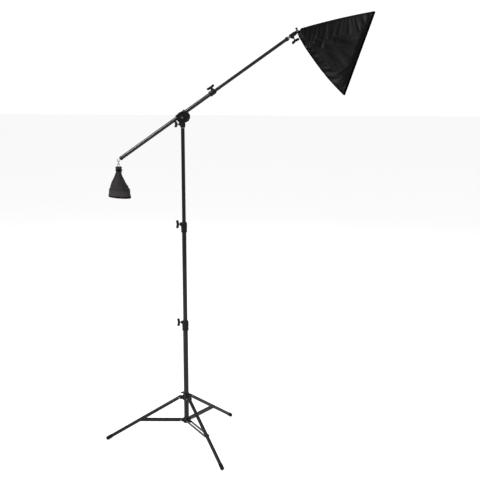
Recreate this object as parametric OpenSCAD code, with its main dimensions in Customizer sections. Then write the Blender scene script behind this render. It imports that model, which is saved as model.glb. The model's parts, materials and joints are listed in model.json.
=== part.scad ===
// Softbox on a telescopic boom, with its light stand and counterweight bag.
// Frame: origin on the floor on the column's axis, +Z up, the boom over +X.

/* [Column] */
// Height of the top end of the column tube
column_top = 1944; // [1600:1:2400]
// Outer diameter of the lower column tube
lower_d = 30; // [25:0.5:36]
// Step in outer diameter from one telescoping tube to the next
tube_step = 4; // [3.4:0.1:5]
// Wall of every column and boom tube
tube_wall = 1.3; // [1:0.1:1.4]
// Bottom of the lower clamp collar
lower_collar_z = 714; // [710:1:860]
// Bottom of the upper clamp collar
upper_collar_z = 1322; // [1250:1:1450]
// Height of a clamp collar
collar_h = 63; // [55:1:76]
// Wall of a clamp collar around the tube it is fixed to
collar_wall = 5; // [4:0.5:7]
// Length of tube left inside the next one at full extension
tube_overlap = 70; // [60:1:90]

/* [Base] */
// Distance of each foot from the column's axis
foot_radius = 496; // [410:1:600]
// Height of the leg pivots on the spider
spider_z = 286; // [250:1:330]
// Outer diameter of a leg tube
leg_d = 21; // [17:0.5:26]
// Distance along a leg from its pivot to the strut's joint
strut_at = 290; // [250:1:330]
// Height of the strut pivots on the base hub
hub_z = 139; // [120:1:160]
// Thickness of a strut strip
strip_t = 2; // [1.6:0.1:3]
// Width of a strut strip
strip_w = 14; // [12:0.5:16]
// Wall of the rubber foot around its leg
foot_wall = 1.2; // [1:0.1:3]
// Bearing of the first leg about the column
first_leg = 184; // [0:1:359]

/* [Boom] */
// Height of the boom's tilt axis above the column tube
pivot_above = 62; // [56:1:72]
// Rise of the boom above level
boom_tilt = 35.1; // [20:0.1:45]
// Length of the boom behind the tilt axis
boom_back = 446; // [370:1:540]
// Length of the outer tube in front of the tilt axis
boom_front = 232; // [200:1:280]
// Length of the whole boom in front of the tilt axis
boom_reach = 763; // [640:1:920]
// Outer diameter of the boom's outer tube
boom_d = 23; // [22:0.5:28]
// Radius of the tilt clamp's front disc
disc_r = 35; // [28:0.5:38]
// Radius of the round tilt knob
knob_r = 35; // [28:0.5:40]

/* [Softbox] */
// Half of the rim's height
rim_h = 232; // [190:1:280]
// Half of the rim's width
rim_w = 325; // [270:1:390]
// Distance from the head's tilt axis to the rim
box_depth = 370; // [305:1:450]
// Fall of the softbox's axis below level
box_tilt = 19.3; // [0:0.1:40]
// Outward bow of the rods at their middle, sideways
side_bow = 12; // [5:1:24]
// Outward bow of the upper rods at their middle
top_bow = 6; // [3:1:24]
// Outward bow of the lower rods at their middle
bottom_bow = 16; // [5:1:24]
// Thickness of the fabric with its lining
fabric_t = 1.6; // [1.2:0.1:2]
// Half of the square rear opening of the fabric
rear_half = 21; // [20.5:0.5:30]

/* [Counterweight] */
// Radius of the filled bag at its bottom
bag_r = 67; // [55:1:82]
// Height of the bag from its bottom to its neck
bag_h = 178; // [148:1:215]
// Length of the cord loop above the neck
loop_h = 26; // [24:1:40]

/* [Fits] */
// Radial clearance of a pin or a clamped tube in its bore
running = 0.05; // [0.02:0.01:0.1]
// Gap between faces that turn past each other
face_gap = 0.3; // [0.2:0.05:0.5]

/* [Hidden] */
$fn = 64;
black = [0.07, 0.07, 0.075];
tube_black = [0.10, 0.10, 0.105];
bright = [0.75, 0.76, 0.78];
cloth = [0.09, 0.09, 0.10];

mid_d = lower_d - tube_step;
top_d = mid_d - tube_step;
inner_d = boom_d - tube_step;
pivot_z = column_top + pivot_above;

pin_r = 2.5;
pin_head_r = 4.5;
pin_head_t = 1.6;
ear_t = 4;
ear_r = 8;
ear_gap = leg_d / 2 + face_gap;
hub_half = 14;
hub_r = lower_d / 2 + 20;
spider_r = lower_d / 2 + 27.5;
spider_screw_z = spider_z + 19;
screw_r = 3;
collar_lip = 16;
upper_lip = 20;
lip_drop = 3;
boss_half = 8;
screw_reach = 36;
column_screw_az = 190;
spider_screw_az = 124;

lower_bottom = hub_z - 11;
lower_top = lower_collar_z + collar_h - collar_lip;
mid_top = upper_collar_z + collar_h - upper_lip;
mid_bottom = lower_top - tube_overlap;
top_bottom = mid_top - tube_overlap;

foot_flat = 0.6;
foot_r = leg_d / 2 + foot_wall;
foot_depth = 8;
leg_wall = 1.5;
leg_end_z = foot_r - foot_flat;
leg_drop = atan2(spider_z - leg_end_z, foot_radius - spider_r);
leg_len = norm([foot_radius - spider_r, spider_z - leg_end_z]);
joint_x = spider_r + strut_at * cos(leg_drop);
joint_z = spider_z - strut_at * sin(leg_drop);
strut_len = norm([joint_x - hub_r, joint_z - hub_z]);
strut_rise = atan2(joint_z - hub_z, joint_x - hub_r);

stud_r = 8;
stud_h = 27;
stud_base = 4;
spigot = 30;
socket_low = column_top + stud_base + face_gap;
socket_top = 31;
socket_screw_z = socket_low + 18.5;
disc_t = 9;
bolt_r = 4;
boom_y = boom_d / 2 + 4.5;
boom_w = boom_d / 2 + bolt_r + 1.5;
cradle_half = 31;
washer_t = 1.5;
cradle_back = boom_y + boom_d / 2 + 10.5;
sleeve_r = boom_d / 2 + 5.5;
boom_plug_at = boom_front - 110;
boom_collar_h = 42;
boom_collar_at = boom_front - 26;
boom_collar_turn = 30;
head_screw_at = boom_reach + 26;
prong_y = 8.3;
prong_t = 6;
prong_r = 9;
eye_r = 8;
wire_r = 1.75;
link_r = 11;
cord_r = 2.2;
loop_r = 7.5;

head_pivot = boom_reach + 66;
eye_u = -boom_back - 24;
eye_x = eye_u * cos(boom_tilt) - boom_w * sin(boom_tilt);
eye_z = pivot_z + eye_u * sin(boom_tilt) + boom_w * cos(boom_tilt);
link_z = eye_z - eye_r + 2 * wire_r + face_gap - link_r;
loop_top = link_z - link_r + wire_r + cord_r + face_gap;
neck_z = loop_top - loop_h;
bag_z = neck_z - bag_h;

holder_r = 18;
rear_x = 15;
ring_x = 20;
ring_half = rear_half - fabric_t - 0.8;
rod_r = 2;
rod_start = rear_half - fabric_t - 5;
diffuser_x = box_depth - 10;
rim_deep = 8;
mitre_gap = 0.05;

// ---- frames ----

module leg_frame(k) rotate([0, 0, first_leg + 120 * k]) children();

module boom_frame() translate([0, boom_y, pivot_z]) rotate([0, -boom_tilt, 0]) translate([0, 0, boom_w])
    children();

module box_frame()
    boom_frame() translate([head_pivot, 0, 0]) rotate([0, boom_tilt + box_tilt, 0]) children();

module along_x() rotate([0, 90, 0]) children();

module along_y() rotate([-90, 0, 0]) children();

// ---- general pieces ----

module pipe(d, wall, low, high) translate([0, 0, low]) difference() {
    cylinder(d = d, h = high - low);
    translate([0, 0, -1]) cylinder(d = d - 2 * wall, h = high - low + 2);
}

module ring(wire, radius) rotate_extrude() translate([radius, 0]) circle(r = wire, $fn = 32);

// A thumb screw along +Z: its tip at 0 and its two wings out to reach.
module wing_screw(reach, half_span = 24.5) {
    wing = [[0, reach - 16.5], [half_span - 8, reach - 16], [half_span - 1, reach - 12],
        [half_span, reach - 5], [half_span - 2.5, reach - 0.8], [half_span - 7, reach],
        [8, reach - 3], [0, reach - 3.5]];
    cylinder(r = screw_r, h = reach - 10);
    translate([0, 0, reach - 19]) cylinder(r1 = 5.2, r2 = 6.8, h = 5);
    translate([0, 0, reach - 14]) cylinder(r = 6.8, h = 9);
    for (side = [0, 180]) rotate([90, 0, side]) translate([0, 0, -2.4]) linear_extrude(4.8) polygon(wing);
}

// A clamp collar: fixed on a tube of radius r_low, closed around a tube of radius r_high.
module clamp_collar(r_low, r_high, h, lip, boss_reach) difference() {
    union() {
        rotate_extrude() polygon([[0, 0], [r_low + collar_wall - 2, 0], [r_low + collar_wall - 1, 1],
            [r_low + collar_wall - 1, h * 0.32], [r_low + collar_wall, h * 0.36],
            [r_low + collar_wall, h - 9], [r_low + collar_wall - 2.5, h - 2],
            [r_low + collar_wall - 4, h], [0, h]]);
        translate([0, -boss_half, h - lip - lip_drop]) cube([boss_reach, 2 * boss_half, lip]);
        translate([boss_reach, 0, h - lip / 2 - lip_drop]) along_x() cylinder(r = lip / 2 - 0.5, h = 2);
    }
    translate([0, 0, -1]) cylinder(r = r_low, h = h - lip + 1);
    translate([0, 0, h - lip - 1]) cylinder(r = r_high + running, h = lip + 2);
    translate([0, 0, h - lip / 2 - lip_drop]) along_x() cylinder(r = screw_r + running, h = boss_reach + 5);
}

// The thumb screw that goes with a clamp collar, its tip just clear of the inner tube.
module collar_screw(r_high, h, lip, reach) translate([r_high + face_gap, 0, h - lip / 2 - lip_drop])
    along_x() wing_screw(reach);

module guide_plug(tube_d, outer_d, z) {
    translate([0, 0, z]) cylinder(r = tube_d / 2 - tube_wall, h = 22);
    translate([0, 0, z - 7]) cylinder(r = outer_d / 2 - tube_wall - 0.1, h = 7);
}

// ---- base ----

module lower_tube() color(tube_black) pipe(lower_d, tube_wall, lower_bottom, lower_top);

module base_hub() color(black) difference() {
    union() {
        rotate_extrude() polygon([[0, hub_z - hub_half - 2], [lower_d / 2 + 4, hub_z - hub_half - 2],
            [lower_d / 2 + 7, hub_z - hub_half + 1], [lower_d / 2 + 7, hub_z + hub_half - 3],
            [lower_d / 2 + 5, hub_z + hub_half], [0, hub_z + hub_half]]);
        for (k = [0:2]) leg_frame(k) {
            translate([0, -leg_d / 2, hub_z - ear_r]) cube([hub_r, leg_d, 2 * ear_r]);
            translate([hub_r, -leg_d / 2, hub_z]) along_y() cylinder(r = ear_r, h = leg_d);
        }
    }
    translate([0, 0, lower_bottom]) cylinder(r = lower_d / 2, h = 60);
    for (k = [0:2]) leg_frame(k) translate([hub_r, -leg_d, hub_z]) along_y()
        cylinder(r = pin_r, h = 2 * leg_d);
}

// A riveted pin across a pivot, with a round head on each end.
module cross_pin(half) {
    translate([0, -half, 0]) along_y() cylinder(r = pin_r, h = 2 * half);
    translate([0, -half - pin_head_t, 0]) along_y() cylinder(r = pin_head_r, h = pin_head_t);
    translate([0, half, 0]) along_y() cylinder(r = pin_head_r, h = pin_head_t);
}

module hub_pins() color(bright) for (k = [0:2]) leg_frame(k) translate([hub_r, 0, hub_z])
    cross_pin(ear_gap + strip_t + face_gap);

module lower_collar() color(black) rotate([0, 0, column_screw_az]) translate([0, 0, lower_collar_z])
    clamp_collar(lower_d / 2, mid_d / 2, collar_h, collar_lip, lower_d / 2 + collar_wall + 6);

module lower_screw() color(black) rotate([0, 0, column_screw_az]) translate([0, 0, lower_collar_z])
    collar_screw(mid_d / 2, collar_h, collar_lip, screw_reach);

module spider() color(black) difference() {
    union() {
        rotate_extrude() polygon([[0, spider_z - 14], [lower_d / 2 + 7, spider_z - 14],
            [lower_d / 2 + 9, spider_z - 12], [lower_d / 2 + 9, spider_z + 8],
            [lower_d / 2 + 5, spider_z + 12], [lower_d / 2 + 5, spider_z + 26], [0, spider_z + 26]]);
        for (k = [0:2], side = [-1, 1]) leg_frame(k) {
            translate([0, side * (ear_gap + ear_t / 2) - ear_t / 2, spider_z - ear_r])
                cube([spider_r, ear_t, 2 * ear_r]);
            translate([spider_r, side * (ear_gap + ear_t / 2) - ear_t / 2, spider_z]) along_y()
                cylinder(r = ear_r, h = ear_t);
        }
        rotate([0, 0, spider_screw_az]) translate([0, -7, spider_z + 12]) cube([lower_d / 2 + 9, 14, 14]);
    }
    translate([0, 0, spider_z - 20]) cylinder(r = lower_d / 2 + running, h = 60);
    for (k = [0:2]) leg_frame(k) {
        translate([spider_r, -leg_d, spider_z]) along_y() cylinder(r = pin_r, h = 2 * leg_d);
        translate([lower_d / 2 + 9.5, -ear_gap, spider_z - 30]) cube([60, 2 * ear_gap, 60]);
    }
    rotate([0, 0, spider_screw_az]) translate([0, 0, spider_screw_z]) along_x()
        cylinder(r = screw_r + running, h = 60);
}

module spider_pins() color(bright) for (k = [0:2]) leg_frame(k) translate([spider_r, 0, spider_z])
    cross_pin(ear_gap + ear_t);

module spider_screw() color(black) rotate([0, 0, spider_screw_az])
    translate([lower_d / 2 + face_gap, 0, spider_screw_z]) along_x() rotate([0, 0, 90]) wing_screw(32, 20);

// A leg: a tube with a solid knuckle around its pivot.
module leg(k) color(tube_black) leg_frame(k) translate([spider_r, 0, spider_z]) rotate([0, leg_drop, 0])
    difference() {
        union() {
            along_x() pipe(leg_d, leg_wall, 20, leg_len - foot_depth);
            along_x() cylinder(r = leg_d / 2 - leg_wall, h = 45);
            intersection() {
                along_x() translate([0, 0, -leg_d / 2]) cylinder(d = leg_d, h = leg_d / 2 + 20);
                union() {
                    translate([0, -leg_d, 0]) along_y() cylinder(d = leg_d - 1, h = 2 * leg_d);
                    translate([0, -leg_d, -leg_d / 2]) cube([20, 2 * leg_d, leg_d]);
                }
            }
        }
        translate([0, -leg_d, 0]) along_y() cylinder(r = pin_r + running, h = 2 * leg_d);
    }

module foot(k) color(black) leg_frame(k) difference() {
    translate([spider_r, 0, spider_z]) rotate([0, leg_drop, 0]) translate([leg_len, 0, 0]) union() {
        sphere(r = foot_r);
        rotate([0, -90, 0]) cylinder(r = foot_r, h = 26);
        rotate([0, -90, 0]) cylinder(r1 = foot_r, r2 = leg_d / 2 + 0.8, h = 32);
    }
    translate([0, 0, -50]) cube([4 * foot_radius, 200, 100], center = true);
    translate([spider_r, 0, spider_z]) rotate([0, leg_drop, 0]) along_x()
        cylinder(d = leg_d, h = leg_len - foot_depth);
}

// A strut: a flat strip on each side of the leg, with a stub rivet on each at the leg's joint.
module strut(k) color(tube_black) leg_frame(k) translate([hub_r, 0, hub_z]) rotate([0, -strut_rise, 0])
    for (side = [-1, 1]) difference() {
        union() {
            translate([0, side * (ear_gap + strip_t / 2) - strip_t / 2, -strip_w / 2])
                cube([strut_len, strip_t, strip_w]);
            for (x = [0, strut_len])
                translate([x, side * (ear_gap + strip_t / 2) - strip_t / 2, 0]) along_y()
                    cylinder(d = strip_w, h = strip_t);
            translate([strut_len, side * (ear_gap + strip_t + pin_head_t / 2) - pin_head_t / 2, 0]) along_y()
                cylinder(r = pin_head_r, h = pin_head_t);
        }
        translate([0, -leg_d, 0]) along_y() cylinder(r = pin_r + running, h = 2 * leg_d);
    }

// ---- column ----

module mid_tube() color(tube_black) pipe(mid_d, tube_wall, mid_bottom, mid_top);

module mid_plug() color(black) guide_plug(mid_d, lower_d, mid_bottom);

module upper_collar() color(black) rotate([0, 0, column_screw_az]) translate([0, 0, upper_collar_z])
    clamp_collar(mid_d / 2, top_d / 2, collar_h, upper_lip, mid_d / 2 + collar_wall + 6);

module upper_screw() color(black) rotate([0, 0, column_screw_az]) translate([0, 0, upper_collar_z])
    collar_screw(top_d / 2, collar_h, upper_lip, screw_reach);

module top_tube() color(tube_black) pipe(top_d, tube_wall, top_bottom, column_top);

module top_plug() color(black) guide_plug(top_d, mid_d, top_bottom);

module top_stud() color(bright) {
    translate([0, 0, column_top - spigot]) cylinder(r = top_d / 2 - tube_wall, h = spigot);
    translate([0, 0, column_top]) cylinder(r = top_d / 2 + 0.6, h = stud_base);
    translate([0, 0, column_top + stud_base]) cylinder(r = stud_r, h = stud_h - 2);
    translate([0, 0, column_top + 2 + stud_h]) cylinder(r1 = stud_r, r2 = stud_r - 1.5, h = 1.5);
}

// ---- tilt clamp ----

module column_socket() color(black) {
    low = socket_low;
    difference() {
        union() {
            rotate_extrude() polygon([[0, low], [13.5, low], [15.5, low + 6], [16.4, low + 14],
                [15.6, low + 22], [14.6, low + socket_top], [0, low + socket_top]]);
            translate([0, -2, pivot_z]) rotate([90, 0, 0]) cylinder(r = disc_r, h = disc_t);
            translate([0, -2 - disc_t, pivot_z]) rotate([90, 0, 0])
                cylinder(r1 = disc_r, r2 = disc_r - 3, h = 3);
            translate([-14, -14, low + 16]) cube([28, 12, pivot_z - low - 16]);
            rotate([0, 0, column_screw_az]) translate([0, -7, low + 11]) cube([24, 14, 15]);
        }
        translate([0, 0, low - 1]) cylinder(r = stud_r + running, h = stud_h + 2.2);
        translate([0, -3, pivot_z]) rotate([90, 0, 0]) cylinder(r = bolt_r, h = 40);
        translate([0, -11.5, pivot_z]) rotate([90, 0, 0]) cylinder(r = 7, h = 10);
        translate([0, 10, pivot_z]) rotate([90, 0, 0]) cylinder(r = bolt_r, h = 20);
        rotate([0, 0, column_screw_az]) translate([0, 0, socket_screw_z]) along_x()
            cylinder(r = screw_r + running, h = 40);
    }
}

module socket_screw() color(black) rotate([0, 0, column_screw_az])
    translate([stud_r + face_gap, 0, socket_screw_z]) along_x() wing_screw(40, 19);

module tilt_bolt() color(bright) translate([0, 0, pivot_z]) {
    translate([0, -16, 0]) along_y() cylinder(r = 5.5, h = 4.5, $fn = 6);
    translate([0, -11.5, 0]) along_y() cylinder(r = bolt_r, h = 75);
    translate([0, cradle_back + face_gap, 0]) along_y() cylinder(r = 11, h = washer_t);
}

module boom_cradle() color(black) difference() {
    union() {
        translate([0, -2 + face_gap, pivot_z]) along_y() cylinder(r = disc_r - 9, h = 8);
        translate([0, -2 + face_gap, pivot_z]) along_y() cylinder(r = 14, h = cradle_back + 2 - face_gap);
        boom_frame() translate([-cradle_half, 0, 0]) along_x() cylinder(r = sleeve_r, h = 2 * cradle_half);
        boom_frame() for (x = [-cradle_half, cradle_half - 5]) translate([x, 0, 0]) along_x()
            cylinder(r = sleeve_r + 1, h = 5);
    }
    boom_frame() translate([-cradle_half - 1, 0, 0]) along_x()
        cylinder(r = boom_d / 2 + running, h = 2 * cradle_half + 2);
    translate([0, -20, pivot_z]) along_y() cylinder(r = bolt_r + running, h = 90);
}

// The round tilt knob: a dished disc with grip flutes around it.
module tilt_knob() color(black) translate([0, cradle_back + 2 * face_gap + washer_t, pivot_z]) difference() {
    union() {
        along_y() cylinder(r = 13, h = 9);
        translate([0, 8, 0]) along_y() cylinder(r1 = knob_r - 6, r2 = knob_r, h = 6);
        translate([0, 14, 0]) along_y() cylinder(r = knob_r, h = 10);
        translate([0, 24, 0]) along_y() cylinder(r1 = knob_r, r2 = knob_r - 5, h = 3);
    }
    for (turn = [0:30:330]) rotate([0, turn, 0]) translate([knob_r + 3, -1, 0]) along_y()
        cylinder(r = 5, h = 40);
    translate([0, 22, 0]) along_y() cylinder(r = knob_r - 12, h = 10);
    translate([0, -1, 0]) along_y() cylinder(r = bolt_r + running, h = 40);
}

// ---- boom ----

module boom_outer_tube() color(tube_black) boom_frame() along_x()
    pipe(boom_d, tube_wall, -boom_back, boom_front);

module boom_end_cap() color(black) boom_frame() translate([-boom_back, 0, 0]) rotate([0, -90, 0])
    difference() {
    union() {
        translate([0, 0, -20]) cylinder(r = boom_d / 2 - tube_wall, h = 20);
        cylinder(r = boom_d / 2 + 1, h = 8);
        translate([0, 0, 8]) cylinder(r1 = boom_d / 2 + 1, r2 = boom_d / 2 - 3, h = 3);
    }
    translate([0, 0, -5]) cylinder(r = 2.5, h = 20);
}

module boom_eye() color(bright) boom_frame() {
    translate([eye_u + eye_r, 0, 0]) along_x() cylinder(r = 2.5, h = 21);
    translate([eye_u, 0, 0]) rotate([90, 0, 0]) ring(wire_r, eye_r);
}

module at_boom_collar() boom_frame() rotate([boom_collar_turn, 0, 0]) translate([boom_collar_at, 0, 0])
    along_x() rotate([0, 0, 180]) children();

module boom_collar() color(black) at_boom_collar()
    clamp_collar(boom_d / 2, inner_d / 2, boom_collar_h, collar_lip, boom_d / 2 + collar_wall + 4);

module boom_screw() color(black) at_boom_collar() collar_screw(inner_d / 2, boom_collar_h, collar_lip, 33);

module boom_inner_tube() color(tube_black) boom_frame() along_x()
    pipe(inner_d, tube_wall, boom_plug_at, boom_reach);

module boom_plug() color(black) boom_frame() along_x() guide_plug(inner_d, boom_d, boom_plug_at);

module boom_stud() color(bright) boom_frame() along_x() {
    translate([0, 0, boom_reach - spigot]) cylinder(r = inner_d / 2 - tube_wall, h = spigot);
    translate([0, 0, boom_reach]) cylinder(r = inner_d / 2 + 1.5, h = stud_base);
    translate([0, 0, boom_reach + stud_base]) cylinder(r = stud_r, h = 34);
}

// ---- head ----

module head_clamp() color(black) boom_frame() difference() {
    union() {
        translate([boom_reach + 14, 0, 0]) along_x() cylinder(r = 12, h = 36);
        translate([boom_reach + 14, 0, 0]) along_x() cylinder(r = 13.5, h = 5);
        translate([boom_reach + 19, -7, -19]) cube([14, 14, 14]);
        for (side = [-1, 1]) {
            translate([head_pivot - 2 * prong_r, side * prong_y - prong_t / 2, -prong_r])
                cube([2 * prong_r, prong_t, 2 * prong_r]);
            translate([head_pivot, side * prong_y - prong_t / 2, 0]) along_y()
                cylinder(r = prong_r, h = prong_t);
        }
    }
    translate([boom_reach, 0, 0]) along_x() cylinder(r = stud_r + running, h = 40);
    translate([head_pivot, -20, 0]) along_y() cylinder(r = bolt_r, h = 40);
    translate([head_screw_at, 0, 0]) rotate([180, 0, 0]) cylinder(r = screw_r + running, h = 40);
}

module head_screw() color(black) boom_frame() translate([head_screw_at, 0, -stud_r - face_gap])
    rotate([180, 0, 0]) wing_screw(37);

module head_pin() color(bright) boom_frame() translate([head_pivot, 0, 0]) {
    translate([0, -24, 0]) along_y() cylinder(r = bolt_r, h = 36);
    translate([0, prong_y + prong_t / 2, 0]) along_y() cylinder(r = 7, h = 4.5, $fn = 6);
}

module head_lever() color(black) boom_frame()
    translate([head_pivot, -prong_y - prong_t / 2 - face_gap, 0]) difference() {
    union() {
        rotate([90, 0, 0]) cylinder(r = 8, h = 13);
        translate([0, -10.5, 0]) rotate([0, 18, 0]) {
            cylinder(r = 4.5, h = 13);
            translate([0, 0, 13]) cylinder(r1 = 5.5, r2 = 7.5, h = 5);
            translate([0, 0, 18]) cylinder(r1 = 7.5, r2 = 5, h = 4);
        }
    }
    translate([0, 1, 0]) rotate([90, 0, 0]) cylinder(r = bolt_r + running, h = 30);
}

// ---- lamp ----

module lamp_holder() color(black) box_frame() difference() {
    union() {
        translate([0, -5, -8]) cube([14, 10, 16]);
        translate([0, -5, 0]) along_y() cylinder(r = 8, h = 10);
        translate([10.5, 0, 0]) along_x() cylinder(r = holder_r, h = 65);
    }
    translate([0, -10, 0]) along_y() cylinder(r = bolt_r + running, h = 20);
    translate([40, 0, 0]) along_x() cylinder(r = holder_r - 2.5, h = 40);
    translate([9, 0, -13]) along_x() cylinder(r = 3.2, h = 34);
    translate([9, -4, 10]) cube([9, 8, 6]);
}

module lamp_socket() color([0.9, 0.88, 0.83]) box_frame() difference() {
    translate([42, 0, 0]) along_x() cylinder(r = holder_r - 2.5, h = 34);
    translate([50, 0, 0]) along_x() cylinder(r = 13 + running, h = 40);
}

module cord_gland() color(black) box_frame() translate([2, 0, -13]) along_x() difference() {
    union() {
        translate([0, 0, 8.5]) cylinder(r = 3.2, h = 16);
        translate([0, 0, 3.5]) cylinder(r = 4.6, h = 5);
    }
    cylinder(r = 2.2, h = 40);
}

module switch_button() color([0.12, 0.12, 0.13]) box_frame() difference() {
    translate([9.5, -3.7, 10.3]) cube([7, 7.4, 5.4]);
    translate([9.5, -5, 13]) rotate([0, 45, 0]) translate([-2, 0, -2]) cube([2.6, 10, 2.6]);
}

module bulb_base() color(bright) box_frame() {
    translate([52, 0, 0]) along_x() cylinder(r = 13, h = 26);
    translate([78, 0, 0]) along_x() cylinder(r1 = 14, r2 = 24, h = 34);
}

module bulb_glass() color([0.95, 0.95, 0.92]) box_frame() {
    translate([112, 0, 0]) along_x() cylinder(r = 24, h = 12);
    translate([124, 0, 0]) along_x() cylinder(r1 = 24, r2 = 27, h = 20);
    translate([144, 0, 0]) along_x() cylinder(r = 27, h = 34);
    translate([178, 0, 0]) intersection() {
        sphere(r = 27);
        translate([0, -30, -30]) cube([60, 60, 60]);
    }
}

// ---- softbox ----

// Half height and half width of the fabric's outside at a share s of the depth.
function half_at(s, rim, bow) = rear_half + (rim - rear_half) * s + bow * 4 * s * (1 - s);
function depth_at(s) = rear_x + (box_depth - rear_x) * s;
stations = [0, 0.1, 0.2, 0.35, 0.5, 0.65, 0.8, 0.9, 1];

// Corner of the fabric's section at s, inset by a thickness, as [width, height]. y and z are 1 or -1.
function corner_at(s, inset, y, z) = [y * (half_at(s, rim_w, side_bow) - inset),
    z * (half_at(s, rim_h, z > 0 ? top_bow : bottom_bow) - inset)];

// One of the four panels: a curved skin between two rods, mitred at the rods.
module panel(upright, side) {
    count = len(stations);
    points = [for (s = stations, inset = [0, fabric_t], end = [-1, 1])
        let (c = upright ? corner_at(s, inset, end, side) : corner_at(s, inset, side, end))
        [depth_at(s), c[0], c[1]]];
    skin = concat(
        [[0, 1, 3, 2]],
        [for (i = [0:count - 2]) let (a = 4 * i, b = a + 4) each [
            [a, b, b + 1], [a, b + 1, a + 1],
            [a + 2, a + 3, b + 3], [a + 2, b + 3, b + 2],
            [a, a + 2, b + 2], [a, b + 2, b],
            [a + 1, b + 1, b + 3], [a + 1, b + 3, a + 3]]],
        [let (a = 4 * (count - 1)) [a, a + 2, a + 3, a + 1]]);
    flip = upright ? side > 0 : side < 0;
    box_frame() polyhedron(points, flip ? skin : [for (f = skin) [for (i = [len(f) - 1:-1:0]) f[i]]]);
}

rod_stations = [0.03, 0.15, 0.3, 0.45, 0.6, 0.8, 0.985];
rod_inset = fabric_t + 1.2 + rod_r;
socket_share = 0.055;

function rod_at(s, y, z) = let (c = corner_at(s, rod_inset * (1.3 - 0.3 * s), y, z))
    [depth_at(s), c[0], c[1]];

module rod_ring() color(bright) box_frame() difference() {
    union() {
        translate([ring_x, -ring_half, -ring_half]) cube([5, 2 * ring_half, 2 * ring_half]);
        for (y = [-1, 1], z = [-1, 1])
            bar([ring_x + 2, y * rod_start, z * rod_start], rod_at(socket_share, y, z), rod_r + 1.6);
    }
    translate([ring_x - 5, 0, 0]) along_x() cylinder(r = holder_r, h = 40);
}

// A round bar between two points.
module bar(p, q, r) {
    v = q - p;
    translate(p) rotate([0, acos(v[2] / norm(v)), atan2(v[1], v[0])]) cylinder(r = r, h = norm(v), $fn = 16);
}

module rods() color(bright) box_frame() for (y = [-1, 1], z = [-1, 1]) {
    way = [for (s = rod_stations) rod_at(s, y, z)];
    for (i = [0:len(way) - 2]) {
        bar(way[i], way[i + 1], rod_r);
        translate(way[i + 1]) sphere(r = rod_r, $fn = 16);
    }
}

module fabric_back() color(cloth) box_frame() difference() {
    translate([rear_x, -(rear_half - fabric_t), -(rear_half - fabric_t)])
        cube([fabric_t, 2 * (rear_half - fabric_t), 2 * (rear_half - fabric_t)]);
    along_x() cylinder(r = holder_r, h = 60);
}

module fabric_top() color(cloth) panel(true, 1);

module fabric_bottom() color(cloth) panel(true, -1);

module fabric_near() color(cloth) panel(false, -1);

module fabric_far() color(cloth) panel(false, 1);

// The four edge strips around the mouth, mitred at the corners.
module rim_binding() color(black) box_frame() translate([box_depth, 0, 0]) for (turn = [0:3]) {
    along = turn % 2 == 0 ? rim_w : rim_h;
    across = turn % 2 == 0 ? rim_h : rim_w;
    rotate([turn * 90, 0, 0]) rotate([0, 90, 0]) linear_extrude(rim_deep) polygon([
        [-(across + 2), -(along + 2 - mitre_gap)], [-(across + 2), along + 2 - mitre_gap],
        [-(across - 2), along - 2 - mitre_gap], [-(across - 2), -(along - 2 - mitre_gap)]]);
}

module diffuser() color([0.93, 0.93, 0.92]) box_frame() {
    s = (diffuser_x - rear_x) / (box_depth - rear_x);
    c = corner_at(s, fabric_t + 2 * rod_r + 4, 1, 1);
    translate([diffuser_x, -c[0], -c[1]]) cube([1.5, 2 * c[0], 2 * c[1]]);
}

// ---- counterweight ----

module bag_hook() color(bright) translate([eye_x, boom_y, link_z]) rotate([0, 90, 0]) ring(wire_r, link_r);

bag_fill = bag_z + 0.44 * bag_h;

function bag_profile(inset) = [
    [0, bag_z + inset], [bag_r - 6 - inset, bag_z + inset], [bag_r - inset, bag_z + 8],
    [bag_r - 1 - inset, bag_z + 0.2 * bag_h], [bag_r * 0.9 - inset, bag_z + 0.35 * bag_h],
    [bag_r * 0.8 - inset, bag_fill]];

module bag_loop() color(black) translate([eye_x, boom_y, 0]) {
    for (side = [-1, 1]) translate([side * loop_r, 0, neck_z]) cylinder(r = cord_r, h = loop_h - loop_r);
    translate([0, 0, loop_top - loop_r]) rotate([90, 0, 0]) rotate_extrude(angle = 180)
        translate([loop_r, 0]) circle(r = cord_r, $fn = 32);
}

module bag_body() color([0.25, 0.24, 0.24]) translate([eye_x, boom_y, 0]) difference() {
    union() {
        rotate_extrude() polygon(concat(bag_profile(0), [
            [bag_r * 0.69, bag_z + 0.53 * bag_h], [bag_r * 0.46, bag_z + 0.69 * bag_h],
            [bag_r * 0.28, bag_z + 0.86 * bag_h], [17, neck_z], [0, neck_z]]));
        translate([0, 0, neck_z - 8]) ring(2.5, 18);
    }
    rotate_extrude() polygon(concat(bag_profile(2.5), [[0, bag_fill]]));
}

module sand_fill() color([0.72, 0.62, 0.45]) translate([eye_x, boom_y, 0])
    rotate_extrude() polygon(concat([for (p = bag_profile(2.8)) [p[0], min(p[1], bag_fill - 0.3)]],
        [[0, bag_fill - 0.3]]));

// ---- the nodes ----

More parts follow.
